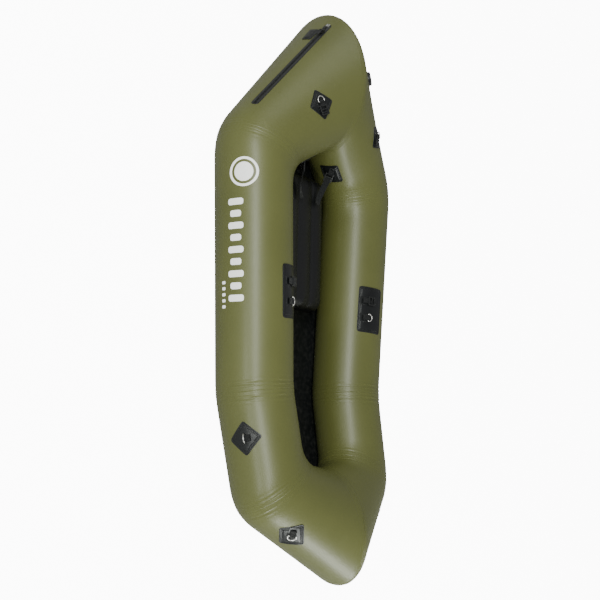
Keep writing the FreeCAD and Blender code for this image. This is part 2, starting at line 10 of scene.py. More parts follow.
import bmesh
import bpy
import numpy as np
from mathutils import Matrix, Vector, noise
from mathutils.bvhtree import BVHTree
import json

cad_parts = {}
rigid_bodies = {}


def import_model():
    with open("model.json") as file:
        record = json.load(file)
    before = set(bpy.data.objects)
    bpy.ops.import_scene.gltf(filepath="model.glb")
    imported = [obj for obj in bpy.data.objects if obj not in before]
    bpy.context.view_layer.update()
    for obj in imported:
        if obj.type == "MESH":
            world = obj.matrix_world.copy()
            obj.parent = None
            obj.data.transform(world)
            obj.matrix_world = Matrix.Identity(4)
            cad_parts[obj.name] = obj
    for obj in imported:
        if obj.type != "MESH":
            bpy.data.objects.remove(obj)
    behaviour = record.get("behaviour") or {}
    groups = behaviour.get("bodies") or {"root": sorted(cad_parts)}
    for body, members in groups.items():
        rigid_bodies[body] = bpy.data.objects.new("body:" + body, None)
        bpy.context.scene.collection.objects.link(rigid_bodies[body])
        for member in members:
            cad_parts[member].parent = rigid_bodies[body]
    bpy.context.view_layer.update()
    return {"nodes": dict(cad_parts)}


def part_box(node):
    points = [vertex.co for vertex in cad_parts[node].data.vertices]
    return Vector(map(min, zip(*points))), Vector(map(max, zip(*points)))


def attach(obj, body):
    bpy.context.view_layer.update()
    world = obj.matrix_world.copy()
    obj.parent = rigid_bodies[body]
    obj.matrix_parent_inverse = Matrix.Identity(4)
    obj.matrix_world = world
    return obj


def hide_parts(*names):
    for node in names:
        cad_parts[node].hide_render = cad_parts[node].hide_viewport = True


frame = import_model()

# %% [markdown]
# ## The shape of the tubes
# A tube ring like this is cut from flat cloth panels and welded along mitred seams, so each tube
# is a straight run between two seam rings. Five rings describe one side: the stern tip, the
# stern corner, the bend amidships, the bow corner and the bow tip. Between two rings every line
# of the skin is straight. Air pressure then rounds the corners, which is done by bending each
# line through a short curve at each ring. A sweep along a curve would lose the mitres, and a
# subdivided cage would make the straight runs wavy, so the skin is computed point by point.

# %% The five seam rings of one side
# centre x, y and z, outward radius, upward radius, tilt in degrees, rounding length
SEAM_RINGS = {
    "stern_tip": (-0.824, 0.000, 0.202, 0.298, 0.200, -9.2, 0.034),
    "stern_corner": (-0.439, 0.346, 0.144, 0.144, 0.144, 0.0, 0.092),
    "mid_bend": (0.437, 0.290, 0.138, 0.138, 0.138, 0.0, 0.050),
    "bow_corner": (0.764, 0.267, 0.200, 0.133, 0.133, 0.0, 0.080),
    "bow_tip": (0.914, 0.000, 0.272, 0.208, 0.148, 18.0, 0.027),
}
RING_NAMES = list(SEAM_RINGS)
RUN_NAMES = ["stern", "side", "front", "bow"]
UP = np.array([0.0, 0.0, 1.0])


def unit(vector):
    return vector / np.linalg.norm(vector)


def level(vector):
    return unit(vector * np.array([1.0, 1.0, 0.0]))


def ring_frames(side):
    """Centre, outward axis, upward axis and the two radii of each ring on one side."""
    centres = [np.array([x, side * y, z]) for x, y, z, *_ in SEAM_RINGS.values()]
    runs = [unit(ahead - here) for here, ahead in zip(centres[:-1], centres[1:])]
    frames = []
    for index, (centre, ring) in enumerate(zip(centres, SEAM_RINGS.values())):
        long_radius, short_radius, tilt = ring[3:6]
        if index in (0, 4):
            fore = -1 if index == 0 else 1
            turn = math.radians(tilt)
            outward = np.array([fore * math.cos(turn), 0, math.sin(turn)])
            upward = np.array([-fore * math.sin(turn), 0, math.cos(turn)])
        else:
            mitre = unit(runs[index - 1] + runs[index])
            upward = unit(UP - mitre * mitre[2])
            outward = np.cross(upward, mitre)
            if outward[1] * side < 0:
                outward = -outward
            long_radius = long_radius / (level(runs[index - 1]) @ level(mitre))
        frames.append((centre, outward, upward, long_radius, short_radius))
    return frames


FRAMES = {side: ring_frames(side) for side in (-1, 1)}
print("tube thickness amidships:", round(2 * SEAM_RINGS["mid_bend"][3], 3), "m")

# %% [markdown]
# ## From rings to skin
# `ring_line` gives a ring's points for a list of angles: 0 is outboard, 90 the top, 180 inboard
# and 270 the bottom. `bent_run` walks from one ring to the next and swings through a short
# parabola near each end, so neighbouring runs share one tangent at the seam.

# %% Points on the bare skin
AROUND = 240
ANGLES = np.linspace(0, 2 * math.pi, AROUND, endpoint=False)
MIRROR = np.array([1.0, -1.0, 1.0])


def ring_line(side, index, angles):
    centre, outward, upward, long_radius, short_radius = FRAMES[side][index]
    across = np.multiply.outer(long_radius * np.cos(angles), outward)
    return centre + across + np.multiply.outer(short_radius * np.sin(angles), upward)


def straight_spot(side, run, along, angle):
    """A point of the straight skin, and its outward normal."""
    angles = np.radians([angle - 0.25, angle, angle + 0.25])
    start, end = ring_line(side, run, angles), ring_line(side, run + 1, angles)
    points = start * (1 - along) + end * along
    normal = unit(np.cross(points[2] - points[0], end[1] - start[1]))
    middle = FRAMES[side][run][0] * (1 - along) + FRAMES[side][run + 1][0] * along
    if normal @ (points[1] - middle) < 0:
        normal = -normal
    return points[1], normal, unit(end[1] - start[1])


def bent_run(side, run, fractions):
    """Rows of points along one run, rounded at both ends, with each row's distance to a seam."""
    here, ahead = ring_line(side, run, ANGLES), ring_line(side, run + 1, ANGLES)
    behind = ring_line(side, run - 1, ANGLES) if run > 0 else ring_line(side, 1, ANGLES) * MIRROR
    beyond = ring_line(side, run + 2, ANGLES) if run < 3 else ring_line(side, 3, ANGLES) * MIRROR
    length = np.linalg.norm(ahead - here, axis=1, keepdims=True)
    forward = (ahead - here) / length
    inward = (here - behind) / np.linalg.norm(here - behind, axis=1, keepdims=True)
    onward = (beyond - ahead) / np.linalg.norm(beyond - ahead, axis=1, keepdims=True)
    start_curve = np.minimum(SEAM_RINGS[RING_NAMES[run]][6], 0.45 * length)
    end_curve = np.minimum(SEAM_RINGS[RING_NAMES[run + 1]][6], 0.45 * length)
    rows, gaps = [], []
    for fraction in fractions:
        gone, left = fraction * length, (1 - fraction) * length
        point = here + forward * gone
        swing = 0.5 + 0.5 * np.minimum(gone / start_curve, 1)
        curved = (
            (1 - swing) ** 2 * (here - inward * start_curve)
            + 2 * swing * (1 - swing) * here
            + swing**2 * (here + forward * start_curve)
        )
        point = np.where(gone < start_curve, curved, point)
        swing = 0.5 - 0.5 * np.minimum(left / end_curve, 1)
        curved = (
            (1 - swing) ** 2 * (ahead - forward * end_curve)
            + 2 * swing * (1 - swing) * ahead
            + swing**2 * (ahead + onward * end_curve)
        )
        point = np.where(left < end_curve, curved, point)
        rows.append(point)
        gaps.append(np.minimum(gone, left)[:, 0])
    return rows, gaps


# %% [markdown]
# ## Seams and the wrinkles beside them
# Each seam is a welded lap: a band of double cloth about 26 mm wide, a hair proud of the tube,
# with a fine line down its middle. Pressure pulls the cloth beside a bend into shallow folds
# that run along the seam. They are moved into the mesh, not painted, so the light strips break
# over them as they do on real coated cloth. Rows of points are packed close together near a
# seam and spread out in between.

# %% Seam relief
BAND_HALF = 0.0125
SEAM_STRENGTH = [0.5, 0.75, 1.4, 1.0, 0.9]  # one for each seam ring, stern tip to bow tip
FOLD_DEPTH, FOLD_PERIOD = 0.00085, 0.0165
SLACK_DEPTH = 0.0006


def smooth_step(value):
    value = np.clip(value, 0, 1)
    return value * value * (3 - 2 * value)


def ring_noise(swing, seed):
    """Smooth noise around a ring, one value for each angle."""
    return np.array([noise.noise(Vector((math.cos(a) * swing, math.sin(a) * swing, seed))) for a in ANGLES])


def seam_relief(gap, ring, side):
    """How far the skin moves out at each angle, for one row near a seam ring."""
    strength = SEAM_STRENGTH[ring]
    wander = ring_noise(1.6, ring + side * 9)
    patchy = ring_noise(3.1, ring * 3 + side)
    band = 0.0007 * smooth_step((BAND_HALF - gap) / 0.002 + 0.5)
    line = -0.0009 * np.exp(-((gap / 0.0016) ** 2))
    rim = -0.0005 * np.exp(-(((gap - BAND_HALF - 0.0015) / 0.0018) ** 2))
    reach = np.exp(-(((gap - 0.021) / 0.017) ** 2))
    pull = strength * (0.5 + 0.7 * np.clip(patchy + 0.25, 0, 1))
    folds = FOLD_DEPTH * pull * reach * np.cos(2 * math.pi * gap / FOLD_PERIOD + 0.7 * wander)
    slack = SLACK_DEPTH * strength * patchy * np.exp(-((gap / 0.05) ** 2))
    return band + line + rim + folds + slack


def row_fractions(length):
    """Fractions along a run, close together near both seams."""
    steps = [0, 0.0011, 0.0024, 0.0042, 0.0065, 0.009, 0.0112, 0.0125, 0.0139, 0.0155, 0.0177, 0.02]
    while steps[-1] < 0.06:
        steps.append(steps[-1] + 0.0027)
    while steps[-1] < length / 2 - 0.012:
        steps.append(steps[-1] + min(0.011, 0.35 * (steps[-1] - 0.04) + 0.003))
    near = [step / length for step in steps if step < length / 2 - 0.004]
    return near + [0.5] + [1 - step for step in reversed(near)]


# %% Compute both sides of the hull
hull = {}
for side in (-1, 1):
    rows, normals_along, spans = [], [], []
    for run in range(4):
        ends = FRAMES[side][run][0], FRAMES[side][run + 1][0]
        length = np.linalg.norm(ends[1] - ends[0])
        fractions = row_fractions(length)
        points, gaps = bent_run(side, run, fractions)
        first = len(rows) - (1 if run else 0)
        start = 1 if run else 0
        rows += points[start:]
        for fraction, gap in list(zip(fractions, gaps))[start:]:
            ring = run if fraction < 0.5 else run + 1
            normals_along.append((gap, ring))
        spans.append((first, len(rows), length, fractions))
    grid = np.array(rows)
    around = np.roll(grid, -1, axis=1) - np.roll(grid, 1, axis=1)
    along = np.gradient(grid, axis=0)
    along[0] = along[-1] = np.array([0.0, side, 0.0])
    normals = np.cross(around, along)
    normals /= np.linalg.norm(normals, axis=2, keepdims=True)
    centre_line = grid.mean(axis=1, keepdims=True)
    flip = np.sign(((grid - centre_line) * normals).sum(axis=2, keepdims=True))
    normals *= flip
    relief = np.array([seam_relief(gap, ring, side) for gap, ring in normals_along])
    grid = grid + normals * relief[:, :, None]
    hull[side] = {"grid": grid, "normals": normals, "spans": spans}
    print("side", side, "rows", grid.shape[0], "points", grid.shape[0] * grid.shape[1])

# %% [markdown]
# ## Cloth for the tubes
# The cloth is nylon with a satin rubbery coat. Three things make it read as that: a weave too
# fine to see but enough to soften the highlight, colour that drifts slowly over a panel, and
# small pale scuffs from being rolled up and dragged. The weave, the drift and the scuffs are
# each a shader group, because the floor, the seat and the pads use them too with other values.

# %% Shader group helpers
def new_group(name, inputs, outputs):
    """An empty shader group with its sockets. Inputs are (name, kind, value)."""
    group = bpy.data.node_groups.new(name, "ShaderNodeTree")
    for socket_name, kind, value in inputs:
        socket = group.interface.new_socket(socket_name, in_out="INPUT", socket_type=kind)
        if value is not None:
            socket.default_value = value
    for socket_name, kind in outputs:
        group.interface.new_socket(socket_name, in_out="OUTPUT", socket_type=kind)
    start = group.nodes.new("NodeGroupInput")
    end = group.nodes.new("NodeGroupOutput")
    return group, start, end


def put(tree, kind, links=(), **values):
    """One node, with plain values set and sockets linked: links are (socket, source)."""
    node = tree.nodes.new(kind)
    sockets = values.pop("sockets", {})
    for key, value in values.items():
        setattr(node, key, value)
    for key, value in sockets.items():
        node.inputs[key].default_value = value
    for key, source in links:
        tree.links.new(source, node.inputs[key])
    return node


def ramp(tree, source, stops):
    """A colour ramp with (position, grey or colour) stops."""
    node = put(tree, "ShaderNodeValToRGB", [("Fac", source)])
    elements = node.color_ramp.elements
    while len(elements) < len(stops):
        elements.new(0.5)
    for element, (position, colour) in zip(elements, stops):
        element.position = position
        grey = (colour, colour, colour, 1) if isinstance(colour, (int, float)) else (*colour, 1)
        element.color = grey
    return node


def new_look(name):
    """A new material with its tree, its Principled shader and a coordinate node."""
    material = bpy.data.materials.new(name)
    material.use_nodes = True
    tree = material.node_tree
    return material, tree, tree.nodes["Principled BSDF"], put(tree, "ShaderNodeTexCoord")


VALUE, COLOUR, VECTOR = "NodeSocketFloat", "NodeSocketColor", "NodeSocketVector"

# %% Group: fine weave
weave, w_in, w_out = new_group(
    "fine weave",
    [("Vector", VECTOR, None), ("Threads per metre", VALUE, 1500.0), ("Depth", VALUE, 1.0)],
    [("Height", VALUE)],
)
spread = put(
    weave,
    "ShaderNodeVectorMath",
    [(0, w_in.outputs["Vector"]), ("Scale", w_in.outputs["Threads per metre"])],
    operation="SCALE",
)
warp, weft = (
    put(
        weave,
        "ShaderNodeTexWave",
        [("Vector", spread.outputs[0])],
        bands_direction=direction,
        sockets={"Scale": 1.0},
    )
    for direction in ("X", "Y")
)
crossing = put(
    weave,
    "ShaderNodeMath",
    [(0, warp.outputs["Fac"]), (1, weft.outputs["Fac"])],
    operation="MAXIMUM",
)
deep = put(
    weave,
    "ShaderNodeMath",
    [(0, crossing.outputs[0]), (1, w_in.outputs["Depth"])],
    operation="MULTIPLY",
)
weave.links.new(deep.outputs[0], w_out.inputs["Height"])

# %% Group: slow colour drift
drift, d_in, d_out = new_group(
    "colour drift",
    [
        ("Vector", VECTOR, None),
        ("Scale", VALUE, 4.0),
        ("Light", COLOUR, (0.5, 0.5, 0.5, 1)),
        ("Dark", COLOUR, (0.3, 0.3, 0.3, 1)),
    ],
    [("Color", COLOUR), ("Mask", VALUE)],
)
clouds = put(
    drift,
    "ShaderNodeTexNoise",
    [("Vector", d_in.outputs["Vector"]), ("Scale", d_in.outputs["Scale"])],
    sockets={"Detail": 3.0, "Roughness": 0.55},
)
drift_mask = ramp(drift, clouds.outputs["Fac"], [(0.32, 0.0), (0.68, 1.0)])
drift_mix = put(
    drift,
    "ShaderNodeMix",
    [(0, drift_mask.outputs["Color"]), (6, d_in.outputs["Dark"]), (7, d_in.outputs["Light"])],
    data_type="RGBA",
)
drift.links.new(drift_mix.outputs[2], d_out.inputs["Color"])
drift.links.new(drift_mask.outputs["Color"], d_out.inputs["Mask"])

# %% Group: rubbed marks
scuffs, s_in, s_out = new_group(
    "rubbed marks",
    [("Vector", VECTOR, None), ("Size", VALUE, 30.0), ("Amount", VALUE, 0.5)],
    [("Mask", VALUE)],
)
stretch = put(
    scuffs,
    "ShaderNodeMapping",
    [("Vector", s_in.outputs["Vector"])],
    sockets={"Rotation": (0.3, 0.2, 0.9), "Scale": (0.22, 1.0, 0.6)},
)
streaks = put(
    scuffs,
    "ShaderNodeTexNoise",
    [("Vector", stretch.outputs[0]), ("Scale", s_in.outputs["Size"])],
    sockets={"Detail": 4.0, "Roughness": 0.7},
)
thin = ramp(scuffs, streaks.outputs["Fac"], [(0.66, 0.0), (0.71, 1.0)])
places = put(
    scuffs,
    "ShaderNodeTexNoise",
    [("Vector", s_in.outputs["Vector"])],
    sockets={"Scale": 9.0, "Detail": 1.0},
)
where = ramp(scuffs, places.outputs["Fac"], [(0.52, 0.0), (0.62, 1.0)])
both = put(
    scuffs,
    "ShaderNodeMath",
    [(0, thin.outputs["Color"]), (1, where.outputs["Color"])],
    operation="MULTIPLY",
)
some = put(
    scuffs,
    "ShaderNodeMath",
    [(0, both.outputs[0]), (1, s_in.outputs["Amount"])],
    operation="MULTIPLY",
)
scuffs.links.new(some.outputs[0], s_out.inputs["Mask"])
print("shader groups:", sorted(group.name for group in (weave, drift, scuffs)))

# %% [markdown]
# ## A recipe for coated cloth and rubber
# All the soft skins are one recipe with different numbers, so one function builds them. The
# Principled shader stays in each material. Constants such as the coat and the sheen are typed
# on its sockets, and only what changes over the surface is linked.

# %% Drifting colour with rubbed marks
def marked_colour(tree, solid, light, dark, drift_scale, mark_colour, mark_size, mark_amount):
    """The drift node, the marks node, and the node that lays the marks over the drift."""
    colours = put(
        tree,
        "ShaderNodeGroup",
        [("Vector", solid)],
        node_tree=drift,
        sockets={"Scale": drift_scale, "Light": (*light, 1), "Dark": (*dark, 1)},
    )
    marks = put(
        tree,
        "ShaderNodeGroup",
        [("Vector", solid)],
        node_tree=scuffs,
        sockets={"Size": mark_size, "Amount": mark_amount},
    )
    tinted = put(
        tree,
        "ShaderNodeMix",
        [(0, marks.outputs["Mask"]), (6, colours.outputs["Color"])],
        data_type="RGBA",
        sockets={7: (*mark_colour, 1)},
    )
    return colours, marks, tinted


# %% Skin recipe
SKIN_GRAIN = {"Scale": 260.0, "Detail": 2.0}
DUST_COLOUR = (0.3, 0.29, 0.27, 1)


def skin_material(
    name, light, dark, rough, weave_scale, weave_height, scuff_colour, scuff_amount, scuff_size=34.0,
    drift_scale=3.5, coat=0.0, coat_rough=0.3, sheen=0.0, specular=0.5, dust=0.0, use_map=True
):
    """Coated cloth or rubber: drifting colour, rubbed marks, and a weave in the bump."""
    material, tree, shader, place = new_look(name)
    solid = place.outputs["Object"]
    flat_map = place.outputs["UV"] if use_map else solid
    colours, marks, tinted = marked_colour(
        tree, solid, light, dark, drift_scale, scuff_colour, scuff_size, scuff_amount
    )
    last = tinted.outputs[2]
    if dust:
        settle = put(tree, "ShaderNodeTexNoise", [("Vector", solid)], sockets={"Scale": 60.0, "Detail": 5.0})
        grains = ramp(tree, settle.outputs["Fac"], [(0.45, 0.0), (0.8, dust)])
        dusty = put(
            tree,
            "ShaderNodeMix",
            [(0, grains.outputs["Color"]), (6, last)],
            data_type="RGBA",
            sockets={7: DUST_COLOUR},
        )
        last = dusty.outputs[2]
    tree.links.new(last, shader.inputs["Base Color"])
    gloss = put(
        tree,
        "ShaderNodeMapRange",
        [("Value", colours.outputs["Mask"])],
        sockets={"To Min": rough - 0.03, "To Max": rough + 0.03},
    )
    worn = put(
        tree,
        "ShaderNodeMath",
        [(0, marks.outputs["Mask"]), (2, gloss.outputs[0])],
        operation="MULTIPLY_ADD",
        sockets={1: 0.15},
    )
    tree.links.new(worn.outputs[0], shader.inputs["Roughness"])
    threads = put(
        tree,
        "ShaderNodeGroup",
        [("Vector", flat_map)],
        node_tree=weave,
        sockets={"Threads per metre": weave_scale, "Depth": weave_height},
    )
    grain = put(tree, "ShaderNodeTexNoise", [("Vector", solid)], sockets=SKIN_GRAIN)
    skin = put(
        tree,
        "ShaderNodeMath",
        [(0, grain.outputs["Fac"]), (2, threads.outputs["Height"])],
        operation="MULTIPLY_ADD",
        sockets={1: 0.35},
    )
    bump = put(
        tree,
        "ShaderNodeBump",
        [("Height", skin.outputs[0])],
        sockets={"Strength": 0.35, "Distance": 0.0003},
    )
    tree.links.new(bump.outputs[0], shader.inputs["Normal"])
    shader.inputs["Coat Weight"].default_value = coat
    shader.inputs["Coat Roughness"].default_value = coat_rough
    shader.inputs["Sheen Weight"].default_value = sheen
    shader.inputs["Specular IOR Level"].default_value = specular
    return material


OLIVE_LIGHT = (0.108, 0.114, 0.030)
OLIVE_DARK = (0.096, 0.102, 0.026)
olive_cloth = skin_material(
    "olive coated cloth",
    OLIVE_LIGHT,
    OLIVE_DARK,
    rough=0.44,
    weave_scale=420.0,
    weave_height=0.5,
    scuff_colour=(0.17, 0.17, 0.07),
    scuff_amount=0.3,
    coat=0.22,
    coat_rough=0.28,
)
black_cloth = skin_material(
    "black coated cloth",
    (0.0070, 0.0080, 0.0085),
    (0.0040, 0.0048, 0.0050),
    rough=0.40,
    weave_scale=420.0,
    weave_height=0.8,
    scuff_colour=(0.06, 0.06, 0.06),
    scuff_amount=0.4,
    dust=0.06,
)
seat_cloth = skin_material(
    "black seat cloth",
    (0.0055, 0.0058, 0.0068),
    (0.0035, 0.0038, 0.0046),
    rough=0.38,
    weave_scale=380.0,
    weave_height=0.9,
    scuff_colour=(0.05, 0.05, 0.055),
    scuff_amount=0.3,
    specular=0.5,
    use_map=False,
)
pad_rubber = skin_material(
    "black pad rubber",
    (0.0062, 0.0072, 0.0080),
    (0.0036, 0.0042, 0.0048),
    rough=0.36,
    weave_scale=500.0,
    weave_height=0.35,
    scuff_colour=(0.10, 0.10, 0.10),
    scuff_amount=0.4,
    scuff_size=60.0,
    drift_scale=14.0,
    specular=0.5,
)
print("skins:", olive_cloth.name, black_cloth.name, seat_cloth.name, pad_rubber.name)

# %% [markdown]
# ## The hull panels
# Each run of tube becomes one panel, so the boat keeps the eight pieces it is welded from. A
# panel's rows end exactly on its seams, where both neighbours have the same tangent, so no gap
# or hard edge shows. The cloth map is laid in metres: along the tube and around it.

# %% Helpers for the panels and every later piece
HANDS = ("right", "left")


def strip_faces(rows, columns, base=0, around=True, closed=False):
    """Faces between rows of points. around joins a row's ends, closed the last row to the first."""
    faces = []
    for row in range(rows if closed else rows - 1):
        here, ahead = base + row * columns, base + (row + 1) % rows * columns
        for column in range(columns if around else columns - 1):
            nearby = (column + 1) % columns
            faces.append((here + column, here + nearby, ahead + nearby, ahead + column))
    return faces


def claim(piece, body="hull", node=None):
    """Hides the node that a piece stands for, if one is given, and ties the piece to the body it moves with.
    """
    if node is not None:
        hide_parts(node)
    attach(piece, body)
    return piece


def how_many(words):
    """How many objects have these words in their names."""
    return sum(words in item.name for item in bpy.data.objects)


# %% Build the eight panels
def tube_mesh(name, points, uv, material):
    """A mesh from rings of points (rows, columns, 3), with a map coordinate from uv(row, column)."""
    rows, columns = points.shape[:2]
    mesh = bpy.data.meshes.new(name)
    mesh.from_pydata(points.reshape(-1, 3).tolist(), [], strip_faces(rows, columns))
    layer = mesh.uv_layers.new(name="cloth")
    loops = np.zeros((len(mesh.loops), 2))
    position = 0
    for row in range(rows - 1):
        for column in range(columns):
            for r, c in ((row, column), (row, column + 1), (row + 1, column + 1), (row + 1, column)):
                loops[position] = uv(r, c)
                position += 1
    layer.data.foreach_set("uv", loops.ravel())
    mesh.polygons.foreach_set("use_smooth", [True] * len(mesh.polygons))
    piece = bpy.data.objects.new(name, mesh)
    bpy.context.scene.collection.objects.link(piece)
    mesh.materials.append(material)
    return piece


def face_outward(piece, inside):
    """Flips a mesh whose faces look at a point inside it."""
    mesh = piece.data
    mesh.update()
    total = 0.0
    for face in mesh.polygons:
        total += face.area * face.normal.dot(face.center - inside)
    if total < 0:
        mesh.flip_normals()
    return piece


MEAN_RADIUS = 0.14
panels = []
for side, hand in zip((-1, 1), HANDS):
    for run, run_name in enumerate(RUN_NAMES):
        first, last, length, fractions = hull[side]["spans"][run]
        block = hull[side]["grid"][first:last]

        def cloth_map(row, column, fractions=fractions, length=length):
            return fractions[row] * length, column / AROUND * 2 * math.pi * MEAN_RADIUS

        panel = tube_mesh(f"{run_name}_panel_{hand}", block, cloth_map, olive_cloth)
        face_outward(panel, Vector(block.mean(axis=(0, 1))))
        panels.append(claim(panel, node=f"{run_name}_tube_{hand}"))
print("panels:", len(panels), "faces:", sum(len(panel.data.polygons) for panel in panels))

# %% [markdown]
# ## Laying things on the hull
# Pads, tape and print are glued flat to the tubes, so they must follow the skin closely. The
# finished skin is kept as a search tree, and a point held above the hull is dropped onto it
# along a direction. That is the same as pressing cloth down by hand, and it works over seams.

# %% A search tree of the skin, and places on it
def hull_tree():
    points, faces = [], []
    for side in (-1, 1):
        grid = hull[side]["grid"]
        faces += strip_faces(*grid.shape[:2], base=len(points))
        points += [Vector(point) for point in grid.reshape(-1, 3)]
    return BVHTree.FromPolygons(points, faces)


SKIN = hull_tree()


def press(point, normal, reach=0.06):
    """The skin under a point held above it, with the skin's own normal."""
    start = Vector(point) + Vector(normal) * reach
    spot, skin_normal, _, _ = SKIN.ray_cast(start, -Vector(normal), 2.5 * reach)
    if spot is None:
        spot, skin_normal, _, _ = SKIN.find_nearest(Vector(point))
    if skin_normal.dot(Vector(normal)) < 0:
        skin_normal = -skin_normal
    return np.array(spot), np.array(skin_normal)


class Place:
    """A spot on the hull with its own axes: x along the heading, z out of the skin."""

    def __init__(self, origin, normal, heading):
        self.o = np.array(origin, float)
        self.z = unit(np.array(normal, float))
        heading = np.array(heading, float)
        self.x = unit(heading - self.z * (heading @ self.z))
        self.y = np.cross(self.z, self.x)

    def at(self, x=0.0, y=0.0, z=0.0):
        return self.o + self.x * x + self.y * y + self.z * z

    def turned(self, degrees, x=0.0, y=0.0, z=0.0):
        turn = math.radians(degrees)
        heading = self.x * math.cos(turn) + self.y * math.sin(turn)
        return Place(self.at(x, y, z), self.z, heading)

    def pitched(self, degrees):
        """Tipped about y, so that x rises for a negative angle."""
        turn = math.radians(degrees)
        heading = self.x * math.cos(turn) - self.z * math.sin(turn)
        return Place(self.o, np.cross(heading, self.y), heading)

    def mirrored(self):
        other = Place(self.o * MIRROR, self.z * MIRROR, self.x * MIRROR)
        other.y = self.y * MIRROR
        return other


def place_on(side, run, along, angle):
    origin, normal, heading = straight_spot(side, run, along, angle)
    return Place(origin, normal, heading)


def for_hand(spot, hand):
    """A starboard place as it is, or mirrored for the port fitting."""
    return spot if hand == "right" else spot.mirrored()


test_spot, _ = press(*straight_spot(-1, 1, 0.5, 90)[:2])
print("search tree ready; a spot on the side tube:", np.round(test_spot, 3))

# %% [markdown]
# ## Camera
# The boat is looked at from starboard, well above the deck, with the bow towards the bottom of
# the frame. The camera is aimed at a point low in the cockpit and leans a little.

# %% Place the camera
AIM = Vector((0.070, 0.0, 0.1103))
RISE, YAW, ROLL = math.radians(36.557), math.radians(10.692), math.radians(1.3715)
DISTANCE, LENS = 2.8132, 42.889
away = Vector((math.sin(YAW) * math.cos(RISE), -math.cos(YAW) * math.cos(RISE), math.sin(RISE)))
sternward = (Vector((-1, 0, 0)) + away * away.x).normalized()
across = sternward.cross(away)
cam_right = across * math.cos(ROLL) + sternward * math.sin(ROLL)
cam_up = sternward * math.cos(ROLL) - across * math.sin(ROLL)
lens_data = bpy.data.cameras.new("studio_camera")
lens_data.lens = LENS
lens_data.sensor_width = 36.0
lens_data.clip_end = 200.0
camera = bpy.data.objects.new("studio_camera", lens_data)
turn = Matrix((cam_right, cam_up, away)).transposed().to_4x4()
camera.matrix_world = Matrix.Translation(AIM + away * DISTANCE) @ turn
bpy.context.scene.collection.objects.link(camera)
bpy.context.scene.camera = camera
print("camera at", [round(value, 3) for value in camera.location])

# %% [markdown]
# ## Pressing patches onto the skin
# A glued pad is a plate of rubber with rounded corners and one or two moulded lines that run
# parallel to its edge. So its mesh is a set of outlines, each a little further in than the last,
# dropped onto the hull and lifted by a height that depends only on how far in it is. Parallel
# outlines keep the moulded lines sharp at the corners, which a plain square grid can't.

# %% Outlines and patches
def rounded_outline(half_length, half_width, corner, edge=24, arc=10):
    """Points around a rounded rectangle, always the same number in the same order."""
    corner = max(min(corner, half_length - 1e-5, half_width - 1e-5), 2e-4)
    points = []
    centres = [(1, 1, 0), (-1, 1, 90), (-1, -1, 180), (1, -1, 270)]
    arcs = []
    for sx, sy, first in centres:
        cx, cy = sx * (half_length - corner), sy * (half_width - corner)
        turns = [math.radians(first + 90 * step / arc) for step in range(arc + 1)]
        arcs.append([(cx + corner * math.cos(a), cy + corner * math.sin(a)) for a in turns])
    for index, here in enumerate(arcs):
        ahead = arcs[(index + 1) % 4][0]
        points += here
        for step in range(1, edge):
            share = step / edge
            points.append(tuple(a * (1 - share) + b * share for a, b in zip(here[-1], ahead)))
    return np.array(points)


def add_piece(name, points, faces, uvs=None, material=None, smooth=True):
    """A mesh piece from plain lists, with one map coordinate for each point."""
    mesh = bpy.data.meshes.new(name)
    mesh.from_pydata([tuple(map(float, point)) for point in points], [], faces)
    if uvs is not None:
        layer = mesh.uv_layers.new(name="cloth")
        order = np.empty(len(mesh.loops), dtype=np.int64)
        mesh.loops.foreach_get("vertex_index", order)
        layer.data.foreach_set("uv", np.asarray(uvs, dtype=float)[order].ravel())
    mesh.polygons.foreach_set("use_smooth", [smooth] * len(mesh.polygons))
    if material is not None:
        mesh.materials.append(material)
    piece = bpy.data.objects.new(name, mesh)
    bpy.context.scene.collection.objects.link(piece)
    return piece


def tidy_normals(piece):
    """Points every face of a closed piece outward."""
    work = bmesh.new()
    work.from_mesh(piece.data)
    bmesh.ops.recalc_face_normals(work, faces=work.faces)
    work.to_mesh(piece.data)
    work.free()
    return piece


FILL_STEP = 0.004


def skin_patch(name, place, outlines, heights, material, filled=True):
    """Outlines in a place's own plane, dropped on the hull and lifted by their heights."""
    if filled:
        heart = np.mean(outlines[-1], axis=0)
        rim = outlines[-1]
        spread = max(np.ptp(rim[:, 0]), np.ptp(rim[:, 1])) / 2
        rings = max(2, int(spread / FILL_STEP))
        outlines = list(outlines) + [heart + (rim - heart) * (1 - k / rings) for k in range(1, rings)]
        heights = list(heights) + [heights[-1]] * (rings - 1)
    count = len(outlines[0])
    points, uvs = [], []
    for outline, height in zip(outlines, heights):
        for x, y in outline:
            spot, normal = press(place.at(x, y), place.z)
            points.append(spot + normal * height)
            uvs.append((x, y))
    faces = strip_faces(len(outlines), count)
    if filled:
        last = (len(outlines) - 1) * count
        middle = np.mean(outlines[-1], axis=0)
        spot, normal = press(place.at(*middle), place.z)
        points.append(spot + normal * heights[-1])
        uvs.append(tuple(middle))
        for column in range(count):
            faces.append((last + column, last + (column + 1) % count, len(points) - 1))
    piece = add_piece(name, points, faces, uvs, material)
    total = sum(face.area * face.normal.dot(Vector(place.z)) for face in piece.data.polygons)
    if total < 0:
        piece.data.flip_normals()
    return piece


BORDER_LINES = (0.0042, 0.0090)
BORDER_DEPTH = 0.40


